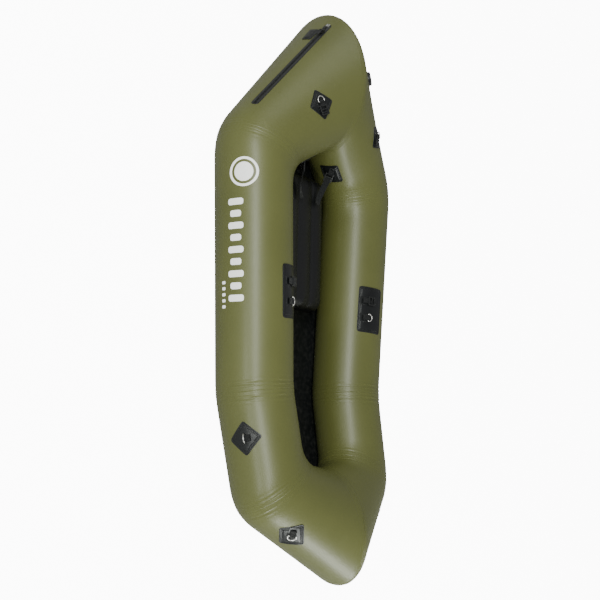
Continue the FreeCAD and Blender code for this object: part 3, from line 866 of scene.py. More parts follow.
def moulded_pad(name, place, length, width, corner, thick=0.0016, base=0.0, lines=True):
    """One rubber pad with a soft rim and two moulded border lines."""
    steps = [0, 0, 0.0002, 0.0005, 0.0010, 0.0018]
    tall = [-0.0006, 0.35, 0.72, 0.92, 1.0, 1.0]
    if lines:
        for start in BORDER_LINES:
            steps += [start, start + 0.0007, start + 0.0017, start + 0.0024]
            tall += [1.0, BORDER_DEPTH, BORDER_DEPTH, 1.0]
    outlines = [rounded_outline(length / 2 - s, width / 2 - s, corner - s) for s in steps]
    heights = [h if h < 0 else base + thick * h for h in tall]
    return skin_patch(name, place, outlines, heights, pad_rubber)


# %% [markdown]
# ## Where the fittings sit
# Every fitting is given as a run of tube, a share of its length and an angle around it, which is
# how a maker would mark the place with a tape. A fitting also has a heading, the way its ring
# or buckle points. The port ones are the starboard ones mirrored, except on the long pads,
# where both buckles and both rings lie the same way.

# %% Fitting places
BAR_LIFT = 0.0074
SEAT_LOW, SEAT_HIGH = (np.array(corner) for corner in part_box("seat_cushion"))
stern_spot = place_on(-1, 0, 0.567, 90.0)
front_spot = place_on(-1, 2, 0.389, 19.0)
bow_spot = place_on(-1, 3, 0.333, 23.0)
inner_spot = place_on(-1, 0, 0.490, 186.0)
seat_anchor = np.array([SEAT_LOW[0] + 0.094, -0.062, SEAT_HIGH[2] + 0.0050])
# the skin of the tips is not exactly where the measured fittings sit, so two kinds are shifted by
# about a millimetre or less onto the hinges that they turn on
stern_heading = stern_spot.turned(69, z=-0.00038)
front_heading = front_spot.turned(-90)
bow_turned = bow_spot.turned(-62)
bow_hinge_shift = np.array([-0.00099, 0.00038, -0.00019])
bow_heading = Place(bow_turned.o + bow_hinge_shift, bow_turned.z, bow_turned.x)
inner_heading = Place(inner_spot.o, inner_spot.z, seat_anchor - inner_spot.o)
SQUARE_PAD = (0.083, 0.083, 0.009)  # length, width, corner radius
LONG_PAD = (0.189, 0.115, 0.012)
BOOT_SHAPE = (0.006, 0.0010, 0.0016)  # corner radius, thickness, height of its base
PADS = {
    "stern": stern_spot.turned(24),
    "front": front_spot.turned(45),
    "bow": bow_spot.turned(45),
    "inner": inner_spot.turned(-11),
}
BOOTS = {
    "stern": (stern_heading.turned(0, x=-0.001), 0.040, 0.040),
    "front": (front_heading.turned(0, x=-0.011), 0.038, 0.036),
    "bow": (bow_heading.turned(0, x=-0.017), 0.040, 0.036),
    "inner": (inner_heading.turned(0, x=-0.011), 0.038, 0.036),
}

# %% Make the pads
def boot_on(name, place, length, width):
    """The small plain patch that a loop's tail is sewn to."""
    return claim(moulded_pad(name, place, length, width, *BOOT_SHAPE, lines=False))


for hand in HANDS:
    for kind, spot in PADS.items():
        pad = moulded_pad(f"{kind}_pad_moulded_{hand}", for_hand(spot, hand), *SQUARE_PAD)
        claim(pad, node=f"{kind}_pad_{hand}")
        boot_spot, boot_length, boot_width = BOOTS[kind]
        boot_on(f"{kind}_boot_{hand}", for_hand(boot_spot, hand), boot_length, boot_width)
side_spots = {}
for hand, side, shift in (("right", -1, -0.004), ("left", 1, -0.016)):
    spot = place_on(side, 1, 0.600, 109.5)
    pad = moulded_pad(f"side_pad_moulded_{hand}", spot, *LONG_PAD)
    claim(pad, node=f"side_pad_{hand}")
    side_spots[hand] = (spot.turned(90, x=-0.036, y=shift), spot.turned(90, x=0.034, y=shift))
    for label, heading, back in zip(("buckle", "ring"), side_spots[hand], (-0.015, -0.013)):
        boot_on(f"side_{label}_boot_{hand}", heading.turned(0, x=back), 0.044, 0.036)
print("pads:", how_many("_pad_moulded_"), "boots:", how_many("_boot_"))

# %% [markdown]
# ## Webbing
# Flat woven strap has a ribbed face, rounded edges and real thickness. It is swept along a path
# with a rounded slab as its section. A curve with a bevel could do that too, but then the weave
# would not follow the strap, so the sweep writes its own map: along, then across.

# %% Strap material and sweep
webbing_look, tree, shader, place_node = new_look("black webbing")
ribs = put(
    tree,
    "ShaderNodeTexWave",
    [("Vector", place_node.outputs["UV"])],
    bands_direction="X",
    sockets={"Scale": 190.0, "Distortion": 0.6, "Detail": 1.0},
)
cords = put(
    tree,
    "ShaderNodeTexWave",
    [("Vector", place_node.outputs["UV"])],
    bands_direction="Y",
    sockets={"Scale": 140.0, "Distortion": 0.4},
)
knit = put(tree, "ShaderNodeMath", [(0, ribs.outputs["Fac"]), (1, cords.outputs["Fac"])], operation="ADD")
fuzz = put(tree, "ShaderNodeTexNoise", [("Vector", place_node.outputs["Object"])], sockets={"Scale": 700.0})
tone = ramp(tree, knit.outputs[0], [(0.3, (0.0025, 0.0028, 0.003)), (1.0, (0.0065, 0.0072, 0.0078))])
tree.links.new(tone.outputs["Color"], shader.inputs["Base Color"])
matte = ramp(tree, fuzz.outputs["Fac"], [(0.3, 0.55), (0.7, 0.75)])
tree.links.new(matte.outputs["Color"], shader.inputs["Roughness"])
raised = put(
    tree,
    "ShaderNodeBump",
    [("Height", knit.outputs[0])],
    sockets={"Strength": 0.7, "Distance": 0.0005},
)
tree.links.new(raised.outputs[0], shader.inputs["Normal"])
shader.inputs["Specular IOR Level"].default_value = 0.3
shader.inputs["Sheen Weight"].default_value = 0.06


def smooth_path(points, step=0.0008, closed=False):
    """A Catmull-Rom curve through a few points, sampled evenly enough for a sweep."""
    points = [np.array(point, float) for point in points]
    if closed:
        ring = [points[-1], *points, points[0], points[1]]
    else:
        ring = [2 * points[0] - points[1], *points, 2 * points[-1] - points[-2]]
    result = []
    for a, b, c, d in zip(ring[:-3], ring[1:-2], ring[2:-1], ring[3:]):
        count = max(2, int(np.linalg.norm(c - b) / step))
        for index in range(count):
            t = index / count
            bend = 2 * b + (c - a) * t + (2 * a - 5 * b + 4 * c - d) * t * t + (3 * b - a - 3 * c + d) * t**3
            result.append(0.5 * bend)
    if not closed:
        result.append(points[-1])
    return np.array(result)


def strap_section(width, thick):
    """A slab with rounded edges, as (across, up) pairs."""
    half, up = width / 2, thick / 2
    flat_steps = np.linspace(-1, 1, 12) * (half - up)
    top = [(value, up) for value in flat_steps[::-1]]
    bottom = [(value, -up) for value in flat_steps]
    turns = np.radians([30, 60, 90, 120, 150])
    turn_left = [(-half + up - up * math.sin(a), up * math.cos(a)) for a in turns]
    turn_right = [(half - up + up * math.sin(a), -up * math.cos(a)) for a in turns]
    return np.array(top + turn_left + bottom + turn_right)


def strap(name, path, side_axis, width, thick=0.0014, closed=False):
    """A flat strap along a path. side_axis points across it, one for all or one per point."""
    path = np.asarray(path)
    section = strap_section(width, thick)
    count, columns = len(path), len(section)
    if closed:
        tangents = np.roll(path, -1, axis=0) - np.roll(path, 1, axis=0)
    else:
        tangents = np.gradient(path, axis=0)
    tangents /= np.linalg.norm(tangents, axis=1, keepdims=True)
    sides = np.broadcast_to(np.asarray(side_axis, float), path.shape)
    sides = sides - tangents * (sides * tangents).sum(axis=1, keepdims=True)
    sides /= np.linalg.norm(sides, axis=1, keepdims=True)
    ups = np.cross(tangents, sides)
    gone = np.concatenate([[0], np.cumsum(np.linalg.norm(np.diff(path, axis=0), axis=1))])
    points, uvs = [], []
    for index in range(count):
        for across_at, up_at in section:
            points.append(path[index] + sides[index] * across_at + ups[index] * up_at)
            uvs.append((gone[index], across_at))
    faces = strip_faces(count, columns, closed=closed)
    if not closed:
        faces.append(tuple(reversed(range(columns))))
        faces.append(tuple((count - 1) * columns + column for column in range(columns)))
    return tidy_normals(add_piece(name, points, faces, uvs, webbing_look))


# %% Loops around the bars
LOOP_RADIUS = 0.0029
STRAP_WIDTH = 0.022


def bar_arc(x, first, last, steps=9):
    turns = np.radians(np.linspace(first, last, steps))
    return [(x + LOOP_RADIUS * math.cos(a), BAR_LIFT + LOOP_RADIUS * math.sin(a)) for a in turns]


def loop_path(x, tail):
    """One strap that comes in flat, goes round a bar and lies back on itself."""
    flat = [(tail, 0.0036), (x - 0.010, 0.0036), (x - 0.004, 0.0038)]
    back = [(x - 0.0055, 0.0076), (x - 0.0095, 0.0056), (x - 0.0130, 0.0051), (tail + 0.002, 0.0051)]
    return flat + bar_arc(x, -80, 105) + back


def belt_path(first, second):
    """One strap around two bars, drawn together between them."""
    middle = (first + second) / 2
    right = [(middle, 0.0036), (second - 0.003, 0.0040)] + bar_arc(second, -80, 100)
    left = [(middle, 0.0054)] + bar_arc(first, 80, 260) + [(first + 0.003, 0.0040)]
    return right + left


def webbing_on(name, place, path, node, closed=False):
    points = smooth_path([place.at(x, 0, z) for x, z in path], closed=closed)
    return claim(strap(name, points, place.y, STRAP_WIDTH, closed=closed), node=node)


# each loop's bar and tail along its heading, then where the box of stitches starts and ends
LOOPS = {
    "front": (0.0, -0.022, -0.0185, -0.0135),
    "bow": (-0.006, -0.028, -0.0245, -0.0195),
    "inner": (0.0, -0.024, -0.0205, -0.0140),
    "side": (0.0, -0.030, -0.0265, -0.0145),
    "ring": (0.0, -0.026, -0.0225, -0.0140),
}


def loop_spots(hand):
    """The place of each loop on one side of the boat."""
    spots = [for_hand(spot, hand) for spot in (front_heading, bow_heading, inner_heading)]
    return dict(zip(LOOPS, [*spots, *side_spots[hand]]))


for hand in HANDS:
    webbing_on(
        f"stern_loops_{hand}",
        for_hand(stern_heading, hand),
        belt_path(-0.009, 0.007),
        f"stern_webbing_{hand}",
        closed=True,
    )
    for kind, spot in loop_spots(hand).items():
        bar, tail = LOOPS[kind][:2]
        webbing_on(f"{kind}_loop_{hand}", spot, loop_path(bar, tail), f"{kind}_webbing_{hand}")
print("webbing loops:", how_many("_loop"))

# %% [markdown]
# ## Stitching
# The tails of the loops are sewn down with a box of short stitches. Each stitch is a small
# stretched bead that sits half in the webbing. They are all one mesh per fitting.

# %% Sew the tails
thread_look, tree, shader, place_node = new_look("sewing thread")
twist = put(
    tree,
    "ShaderNodeTexWave",
    [("Vector", place_node.outputs["Object"])],
    bands_direction="DIAGONAL",
    sockets={"Scale": 900.0},
)
tone = ramp(tree, twist.outputs["Fac"], [(0.0, (0.008, 0.008, 0.008)), (1.0, (0.022, 0.022, 0.022))])
tree.links.new(tone.outputs["Color"], shader.inputs["Base Color"])
shader.inputs["Roughness"].default_value = 0.6


STITCH_PITCH = 0.0030
STITCH_SIZE = 0.0008
STITCH_HEIGHT = 0.0059


def stitch_rows(name, place, corners):
    """Beads along the lines between corners, given as (x, y) in the place."""
    points, faces = [], []
    ring = [(0.5, 0.0), (0.35, 0.35), (0.0, 0.5), (-0.35, 0.35), (-0.5, 0.0)]
    for start, end in zip(corners[:-1], corners[1:]):
        start, end = np.array(start), np.array(end)
        length = np.linalg.norm(end - start)
        heading = (end - start) / length
        beside = np.array([-heading[1], heading[0]])
        for index in range(max(1, int(length / STITCH_PITCH))):
            middle = start + heading * (index + 0.5) * STITCH_PITCH
            base = len(points)
            for share, thick in ((-0.5, 0.15), (-0.3, 0.9), (0.0, 1.0), (0.3, 0.9), (0.5, 0.15)):
                spine = middle + heading * share * STITCH_PITCH * 0.78
                for across_at, up_at in ring:
                    flat = spine + beside * across_at * STITCH_SIZE * thick
                    rise = STITCH_HEIGHT + (up_at * thick - 0.12) * STITCH_SIZE
                    points.append(place.at(flat[0], flat[1], rise))
            faces += strip_faces(5, len(ring), base, around=False)
    return claim(tidy_normals(add_piece(name, points, faces, None, thread_look)))


def sewn_box(tail, front):
    edge = STRAP_WIDTH / 2 - 0.0028
    box_corners = [(tail, -edge), (tail, edge), (front, edge), (front, -edge), (tail, -edge)]
    return box_corners + [(front, edge)]


for hand in HANDS:
    for kind, spot in loop_spots(hand).items():
        stitch_rows(f"{kind}_stitching_{hand}", spot, sewn_box(*LOOPS[kind][2:]))
print("stitched fittings:", how_many("_stitching_"))

# %% [markdown]
# ## Steel rings
# The D-rings are bent from 4 mm wire, so they have round bends and no sharp corner. A circle
# is swept around one closed path. The steel is polished but has been knocked about: fine
# scratches change the roughness, and the lights do the rest.

# %% Ring material and sweep
steel_look, tree, shader, place_node = new_look("polished wire")
haze = put(
    tree,
    "ShaderNodeTexNoise",
    [("Vector", place_node.outputs["Object"])],
    sockets={"Scale": 420.0, "Detail": 4.0, "Roughness": 0.7},
)
tone = ramp(tree, haze.outputs["Fac"], [(0.35, (0.66, 0.65, 0.62)), (0.65, (0.86, 0.85, 0.82))])
gloss = ramp(tree, haze.outputs["Fac"], [(0.3, 0.26), (0.7, 0.42)])
tree.links.new(tone.outputs["Color"], shader.inputs["Base Color"])
tree.links.new(gloss.outputs["Color"], shader.inputs["Roughness"])
nicks = put(
    tree,
    "ShaderNodeBump",
    [("Height", haze.outputs["Fac"])],
    sockets={"Strength": 0.12, "Distance": 0.0001},
)
tree.links.new(nicks.outputs[0], shader.inputs["Normal"])
shader.inputs["Metallic"].default_value = 1.0


def ring_outline(radius=0.015, leg=0.004, bend=0.0022):
    """The closed centre line of a D-ring in its own x and y."""
    points = [(0, y) for y in np.linspace(-radius + bend, radius - bend, 14)]
    for a in np.radians(np.linspace(180, 90, 7))[1:]:
        points.append((bend + bend * math.cos(a), radius - bend + bend * math.sin(a)))
    for a in np.radians(np.linspace(90, -90, 41)):
        points.append((leg + radius * math.cos(a), radius * math.sin(a)))
    for a in np.radians(np.linspace(270, 180, 7))[:-1]:
        points.append((bend + bend * math.cos(a), -radius + bend + bend * math.sin(a)))
    return np.array(points)


def wire_ring(name, place, node, wire=0.0020, around=18):
    outline = ring_outline()
    centre = np.array([place.at(x, y) for x, y in outline])
    tangents = np.roll(centre, -1, axis=0) - np.roll(centre, 1, axis=0)
    tangents /= np.linalg.norm(tangents, axis=1, keepdims=True)
    beside = np.cross(tangents, place.z)
    points = []
    for spot, outward in zip(centre, beside):
        for a in np.linspace(0, 2 * math.pi, around, endpoint=False):
            points.append(spot + (outward * math.cos(a) + place.z * math.sin(a)) * wire)
    faces = strip_faces(len(centre), around, closed=True)
    piece = tidy_normals(add_piece(name, points, faces, None, steel_look))
    return claim(piece, node, node)


rings = {
    "stern_ring": stern_heading.turned(180, x=-0.009, z=BAR_LIFT),
    "front_ring": front_heading.turned(0, z=BAR_LIFT).pitched(-108),
    "bow_ring": bow_heading.turned(0, x=-0.006, z=BAR_LIFT),
}
for kind, spot in rings.items():
    for hand in HANDS:
        wire_ring(f"{kind}_wire_{hand}", for_hand(spot, hand), f"{kind}_{hand}")
for hand in HANDS:
    wire_ring(f"side_ring_wire_{hand}", side_spots[hand][1].turned(0, z=BAR_LIFT), f"side_ring_{hand}")
print("rings:", how_many("_ring_wire_"))

# %% [markdown]
# ## Moulded plastic parts
# Buckles, the zip slider and its pull have the right shape in the measured model, but sharp
# edges. Real mouldings have rounded ones. Each is copied, rebuilt as an even skin of tiny
# faces and relaxed, which rounds every edge by the same small radius and closes the joins
# between bars. A bevel would have to cope with every odd corner where the bars meet.

# %% Moulded look and the rounding helper
def moulded_material(name, light, dark, rough, grain=900.0, metal=0.0):
    """Fine-grained plastic or metal with paler worn spots."""
    material, tree, shader, place_node = new_look(name)
    solid = place_node.outputs["Object"]
    worn = tuple(min(1.0, value * 3 + 0.03) for value in light)
    tinted = marked_colour(tree, solid, light, dark, 60.0, worn, 160.0, 0.5)[2]
    tree.links.new(tinted.outputs[2], shader.inputs["Base Color"])
    pores = put(tree, "ShaderNodeTexNoise", [("Vector", solid)], sockets={"Scale": grain, "Detail": 3.0})
    gloss = ramp(tree, pores.outputs["Fac"], [(0.3, rough - 0.06), (0.7, rough + 0.08)])
    tree.links.new(gloss.outputs["Color"], shader.inputs["Roughness"])
    bump = put(
        tree,
        "ShaderNodeBump",
        [("Height", pores.outputs["Fac"])],
        sockets={"Strength": 0.25, "Distance": 0.0002},
    )
    tree.links.new(bump.outputs[0], shader.inputs["Normal"])
    shader.inputs["Metallic"].default_value = metal
    return material


black_plastic = moulded_material(
    "black moulded plastic", (0.011, 0.0115, 0.012), (0.007, 0.0075, 0.008), rough=0.38
)
light_metal = moulded_material(
    "satin light alloy", (0.78, 0.78, 0.77), (0.62, 0.62, 0.60), rough=0.30, grain=500.0, metal=1.0
)
seal_rubber = moulded_material(
    "smooth seal rubber", (0.009, 0.0095, 0.010), (0.006, 0.0065, 0.007), rough=0.40, grain=500.0
)


def bake(piece):
    """Turns a piece's modifiers into its mesh."""
    bpy.context.view_layer.update()
    graph = bpy.context.evaluated_depsgraph_get()
    mesh = bpy.data.meshes.new_from_object(piece.evaluated_get(graph), depsgraph=graph)
    piece.modifiers.clear()
    old, piece.data = piece.data, mesh
    bpy.data.meshes.remove(old)
    mesh.polygons.foreach_set("use_smooth", [True] * len(mesh.polygons))
    return piece


def rounded_moulding(name, node, material, body, voxel=0.0005, relax=5):
    """A measured part with all its edges softened."""
    mesh = frame["nodes"][node].data.copy()
    mesh.name = name
    mesh.materials.clear()
    piece = bpy.data.objects.new(name, mesh)
    bpy.context.scene.collection.objects.link(piece)
    work = bmesh.new()
    work.from_mesh(mesh)
    bmesh.ops.remove_doubles(work, verts=work.verts, dist=1e-6)
    work.to_mesh(mesh)
    work.free()
    skin = piece.modifiers.new("skin", "REMESH")
    skin.mode = "VOXEL"
    skin.voxel_size = voxel
    soften = piece.modifiers.new("soften", "SMOOTH")
    soften.factor = 0.5
    soften.iterations = relax
    bake(piece)
    piece.data.materials.clear()
    piece.data.materials.append(material)
    return claim(piece, body, node)


for hand in HANDS:
    for kind in ("stern_buckle", "side_buckle", "seat_buckle"):
        body = "hull" if kind == "seat_buckle" else f"{kind}_{hand}"
        buckle = rounded_moulding(
            f"{kind}_moulding_{hand}", f"{kind}_{hand}", black_plastic, body
        )
print("buckle faces:", len(buckle.data.polygons))

# %% [markdown]
# ## The floor
# The floor is one sheet of black coated cloth, pulled tight between the tubes. Its edge is
# welded along the inner lower line of each tube, so it is laid between those two lines, row by
# row, and allowed to dip a little in the middle. Near each edge two raised lines mark the weld.

# %% Stretch the floor sheet
FLOOR_COLUMN = round(243 / 360 * AROUND)
FLOOR_DIP = -0.006
WELD_LINES = (0.014, 0.026)
WELD_RISE, WELD_WIDTH = 0.0011, 0.0022
left_edge = hull[1]["grid"][:, FLOOR_COLUMN]
right_edge = hull[-1]["grid"][:, FLOOR_COLUMN]
kept_rows = [row for row in range(len(left_edge)) if left_edge[row][1] > 0.006]
shares = np.concatenate(
    [np.linspace(0, 0.16, 26), np.linspace(0.16, 0.84, 38)[1:-1], np.linspace(0.84, 1, 26)]
)
points, uvs, faces = [], [], []
gone = 0.0
for number, row in enumerate(kept_rows):
    port, starboard = left_edge[row], right_edge[row]
    width = np.linalg.norm(port - starboard)
    if number:
        gone += np.linalg.norm(left_edge[row] * [1, 0, 1] - left_edge[kept_rows[number - 1]] * [1, 0, 1])
    for share in shares:
        spot = starboard * (1 - share) + port * share
        from_edge = min(share, 1 - share) * width
        dip = FLOOR_DIP * min(1.0, width / 0.4) * smooth_step(from_edge / 0.10)
        weld = sum(WELD_RISE * math.exp(-(((from_edge - line) / WELD_WIDTH) ** 2)) for line in WELD_LINES)
        ripple = 0.0016 * noise.noise(Vector((spot[0] * 3.0, spot[1] * 7.0, 2.0)))
        ripple *= smooth_step(from_edge / 0.05)
        points.append(spot + UP * (dip + weld + ripple))
        uvs.append((gone, (share - 0.5) * width))
columns = len(shares)
for number in range(len(kept_rows) - 1):
    for column in range(columns - 1):
        a, b = number * columns + column, (number + 1) * columns + column
        faces.append((a, b, b + 1, a + 1))
floor_cloth = add_piece("floor_cloth", points, faces, uvs, black_cloth)
if sum(face.area * face.normal.z for face in floor_cloth.data.polygons) < 0:
    floor_cloth.data.flip_normals()
claim(floor_cloth, node="floor_sheet")

# %% [markdown]
# ## The seat
# The seat is a long blow-up cushion. Inner walls split it into three ribs, so its top and bottom
# have two grooves from end to end. A first shape with shallow ribs is filled by the cloth
# solver: the groove lines are held, pressure swells the rest, and the end corners crease by
# themselves. The first shape is a little small, because it grows.

# %% Rough out the seat
SEAT_SIZE = SEAT_HIGH - SEAT_LOW
SEAT_MIDDLE = (SEAT_HIGH + SEAT_LOW) / 2
GROOVES = (-0.042, 0.042)
SEAT_AROUND = 96
SEAT_VOXEL = 0.0055


def seat_section(share):
    """One slice of the cushion at a share of its length, as (y, z) from its middle."""
    end = min(share, 1 - share) * SEAT_SIZE[0]
    pull_in = math.sqrt(max(0.0, 1 - (1 - min(1.0, end / 0.045)) ** 2))
    half_y = (SEAT_SIZE[1] / 2 - 0.009) * (0.80 + 0.20 * pull_in)
    half_z = (SEAT_SIZE[2] / 2 - 0.009) * (0.30 + 0.70 * pull_in)
    slice_points = []
    for a in np.linspace(0, 2 * math.pi, SEAT_AROUND, endpoint=False):
        c, s = math.cos(a), math.sin(a)
        y = half_y * math.copysign(abs(c) ** 0.42, c)
        z = half_z * math.copysign(abs(s) ** 0.42, s)
        groove = sum(math.exp(-(((y - line) / 0.010) ** 2)) for line in GROOVES)
        slice_points.append((y, z * (1 - 0.16 * groove)))
    return slice_points


length_steps = np.concatenate(
    [np.linspace(0, 0.09, 14), np.linspace(0.09, 0.91, 46)[1:-1], np.linspace(0.91, 1, 14)]
)
points = []
for share in length_steps:
    x = SEAT_LOW[0] + 0.007 + share * (SEAT_SIZE[0] - 0.014)
    for y, z in seat_section(share):
        points.append((x, y, SEAT_MIDDLE[2] + z))
faces = strip_faces(len(length_steps), SEAT_AROUND)
faces.append(tuple(range(SEAT_AROUND)))
faces.append(tuple((len(length_steps) - 1) * SEAT_AROUND + column for column in range(SEAT_AROUND)))
seat = tidy_normals(add_piece("seat_air_cushion", points, faces, None, seat_cloth))
remesh = seat.modifiers.new("even", "REMESH")
remesh.mode = "VOXEL"
remesh.voxel_size = SEAT_VOXEL
bake(seat)
print("seat points:", len(seat.data.vertices))

# %% Fill the seat with air
SEAT_PRESSURE = 6.0
SWELL_CAP = 0.014
AIR_STEPS = 20


def vertex_values(mesh, kind="co"):
    """A row of three numbers for each vertex: its place, or its normal."""
    values = np.empty(len(mesh.vertices) * 3)
    mesh.vertices.foreach_get(kind, values)
    return values.reshape(-1, 3)


before = vertex_values(seat.data)
held = seat.vertex_groups.new(name="held")
for index, (x, y, z) in enumerate(before):
    groove = max(math.exp(-(((y - line) / 0.005) ** 2)) for line in GROOVES)
    inner = SEAT_LOW[0] + 0.05 < x < SEAT_HIGH[0] - 0.05
    if groove > 0.4 and inner:
        held.add([index], 1.0, "REPLACE")
cloth = seat.modifiers.new("air", "CLOTH")
settings = cloth.settings
settings.quality = 6
settings.mass = 0.3
settings.tension_stiffness = 25
settings.compression_stiffness = 25
settings.shear_stiffness = 8
settings.bending_stiffness = 0.4
settings.use_pressure = True
settings.uniform_pressure_force = SEAT_PRESSURE
settings.vertex_group_mass = "held"
settings.effector_weights.gravity = 0.0
cloth.collision_settings.use_collision = False
cloth.collision_settings.use_self_collision = False
for step in range(1, AIR_STEPS + 1):
    bpy.context.scene.frame_set(step)
bake(seat)
bpy.context.scene.frame_set(1)
move = vertex_values(seat.data) - before
far = np.linalg.norm(move, axis=1, keepdims=True)
after = before + move * np.minimum(1.0, SWELL_CAP / np.maximum(far, 1e-9))
print("seat swelled by up to", round(float(far.max()) * 1000, 1), "mm")

# %% Finish the seat
seat.data.vertices.foreach_set("co", after.ravel())
seat.vertex_groups.clear()
finer = seat.modifiers.new("finer", "SUBSURF")
finer.levels = 1
finer.render_levels = 1
bake(seat)
spots = vertex_values(seat.data)
facing = vertex_values(seat.data, "normal")
edge_gap = np.minimum(spots[:, 0] - SEAT_LOW[0], SEAT_HIGH[0] - spots[:, 0])
seam_line = np.exp(-(((spots[:, 2] - SEAT_MIDDLE[2]) / 0.0022) ** 2)) * (np.abs(facing[:, 2]) < 0.6)
creases = np.array([noise.noise(Vector((p[0] * 14, p[1] * 30, p[2] * 30))) for p in spots])
pinch = np.array([noise.noise(Vector((p[0] * 8, p[1] * 75, 5.0))) for p in spots])
relief = 0.0016 * seam_line + 0.0012 * creases * np.exp(-((edge_gap / 0.08) ** 2))
relief += 0.0018 * pinch * np.exp(-(((edge_gap - 0.03) / 0.03) ** 2))
spots += facing * relief[:, None]
spots = np.clip(spots, SEAT_LOW - 0.004, SEAT_HIGH + np.array([0.006, 0.009, 0.013]))
spots[:, 2] = np.maximum(spots[:, 2], SEAT_LOW[2] + 0.0005)
seat.data.vertices.foreach_set("co", spots.ravel())
seat.data.update()
seat.data.materials.clear()
seat.data.materials.append(seat_cloth)
claim(seat, node="seat_cushion")
print("seat box:", np.round(spots.min(axis=0), 3), np.round(spots.max(axis=0), 3))

# %% [markdown]
# ## Seat straps
# A strap runs from each inner buckle down to the top rear corner of the seat and is sewn on
# there. It is pulled tight, so it is almost straight, with a small rise where it leaves the
# buckle and a flat landing on the cushion.

# %% Lay the seat straps
SEAT_STRAP_WIDTH = 0.025
buckle_origin = inner_heading.at(0, 0, BAR_LIFT)
pull = unit(seat_anchor - buckle_origin)
pull_up = unit(np.cross(pull, inner_heading.y))
pull_side = np.cross(pull_up, pull)
seat_point = seat_anchor + UP * 0.0012
landing = seat_point + level(pull) * 0.034
level_side = unit(np.cross(UP, level(pull)))
if level_side @ pull_side < 0:
    level_side = -level_side
for hand in HANDS:
    flip = np.array([1, 1, 1]) if hand == "right" else MIRROR
    path = [
        buckle_origin + pull * 0.0075 - pull_up * 0.0035,
        buckle_origin + pull * 0.0115 - pull_up * 0.0005,
        buckle_origin + pull * 0.0150 + pull_up * 0.0036,
        buckle_origin + pull * 0.0215 + pull_up * 0.0042,
        buckle_origin + pull * 0.0330 + pull_up * 0.0040,
        (buckle_origin + pull * 0.033) * 0.5 + seat_point * 0.5 - UP * 0.0010,
        seat_point - pull * 0.010,
        seat_point + level(pull) * 0.010,
        landing,
    ]
    path = smooth_path([point * flip for point in path], step=0.002)
    turned = np.linspace(0, 1, len(path))[:, None] ** 2
    sides = (pull_side * (1 - turned) + level_side * turned) * flip
    tape = strap(f"seat_strap_tape_{hand}", path, sides, SEAT_STRAP_WIDTH)
    claim(tape, node=f"seat_strap_{hand}")
print("seat straps end at", np.round(landing, 3))

# %% [markdown]
# ## The cargo zip
# A waterproof zip has wide rubber-faced tape with a row of moulded teeth down its middle. The
# tape is glued flat to the stern tube, so it is a patch on the skin. The teeth are one small
# rounded block repeated along the line of the zip, on the straight line that the slider runs on.

# %% Zip tape
zip_low, _, _ = straight_spot(-1, 0, 0.867, 21.5)
zip_high, _, _ = straight_spot(-1, 0, 0.115, 33.0)
_, zip_out, _ = straight_spot(-1, 0, 0.45, 28.0)
zip_line = Place((zip_low + zip_high) / 2, zip_out, zip_high - zip_low)
zip_line = Place(zip_line.at(z=0.0022), zip_line.z, zip_line.x)
ZIP_LENGTH = float(np.linalg.norm(zip_high - zip_low))
ZIP_WIDTH, ZIP_CORNER = 0.030, 0.0135
tape_steps = [0, 0, 0.0003, 0.0008, 0.0016, 0.0040, 0.0046, 0.0052, 0.0075, 0.0085, 0.0105]
tape_heights = [-0.0008, 0.0005, 0.0011, 0.0014, 0.0016, 0.0016, 0.0011, 0.0016, 0.0016, 0.0024, 0.0026]
tape_outlines = [
    rounded_outline(ZIP_LENGTH / 2 - s, ZIP_WIDTH / 2 - s, ZIP_CORNER - s, edge=150) for s in tape_steps
]
zip_tape = skin_patch("zip_tape_glued", zip_line, tape_outlines, tape_heights, seal_rubber)
claim(zip_tape, node="zip_tape")
print("zip:", round(ZIP_LENGTH, 3), "m long")

# %% Zip teeth
PITCH = 0.0036
tooth_run = ZIP_LENGTH - 0.028
tooth_count = int(tooth_run / PITCH)
points, faces = [], []
profile = [
    (-0.0013, 0.0), (-0.0012, 0.0009), (-0.0007, 0.0014),
    (0.0007, 0.0014), (0.0012, 0.0009), (0.0013, 0.0),
]
for index in range(tooth_count):
    x = -tooth_run / 2 - 0.009 + (index + 0.5) * PITCH
    lean = 0.0006 if index % 2 else -0.0006
    spot, normal = press(zip_line.at(x, 0), zip_line.z)
    rise = max(0.0020, float((spot - zip_line.o) @ zip_line.z) + 0.0020)
    base = len(points)
    for y in (-0.0030, -0.0026, 0.0026, 0.0030):
        low = 0.0003 if abs(y) > 0.0028 else 0.0
        for along_at, up_at in profile:
            points.append(zip_line.at(x + along_at, y + lean, rise + max(0.0, up_at - low)))
    faces += strip_faces(4, len(profile), base, around=False)
    faces.append(tuple(base + column for column in range(6)))
    faces.append(tuple(base + 18 + column for column in reversed(range(6))))
zip_teeth = tidy_normals(add_piece("zip_teeth_row", points, faces, None, black_plastic))
claim(zip_teeth, node="zip_teeth")
print("zip teeth:", tooth_count)

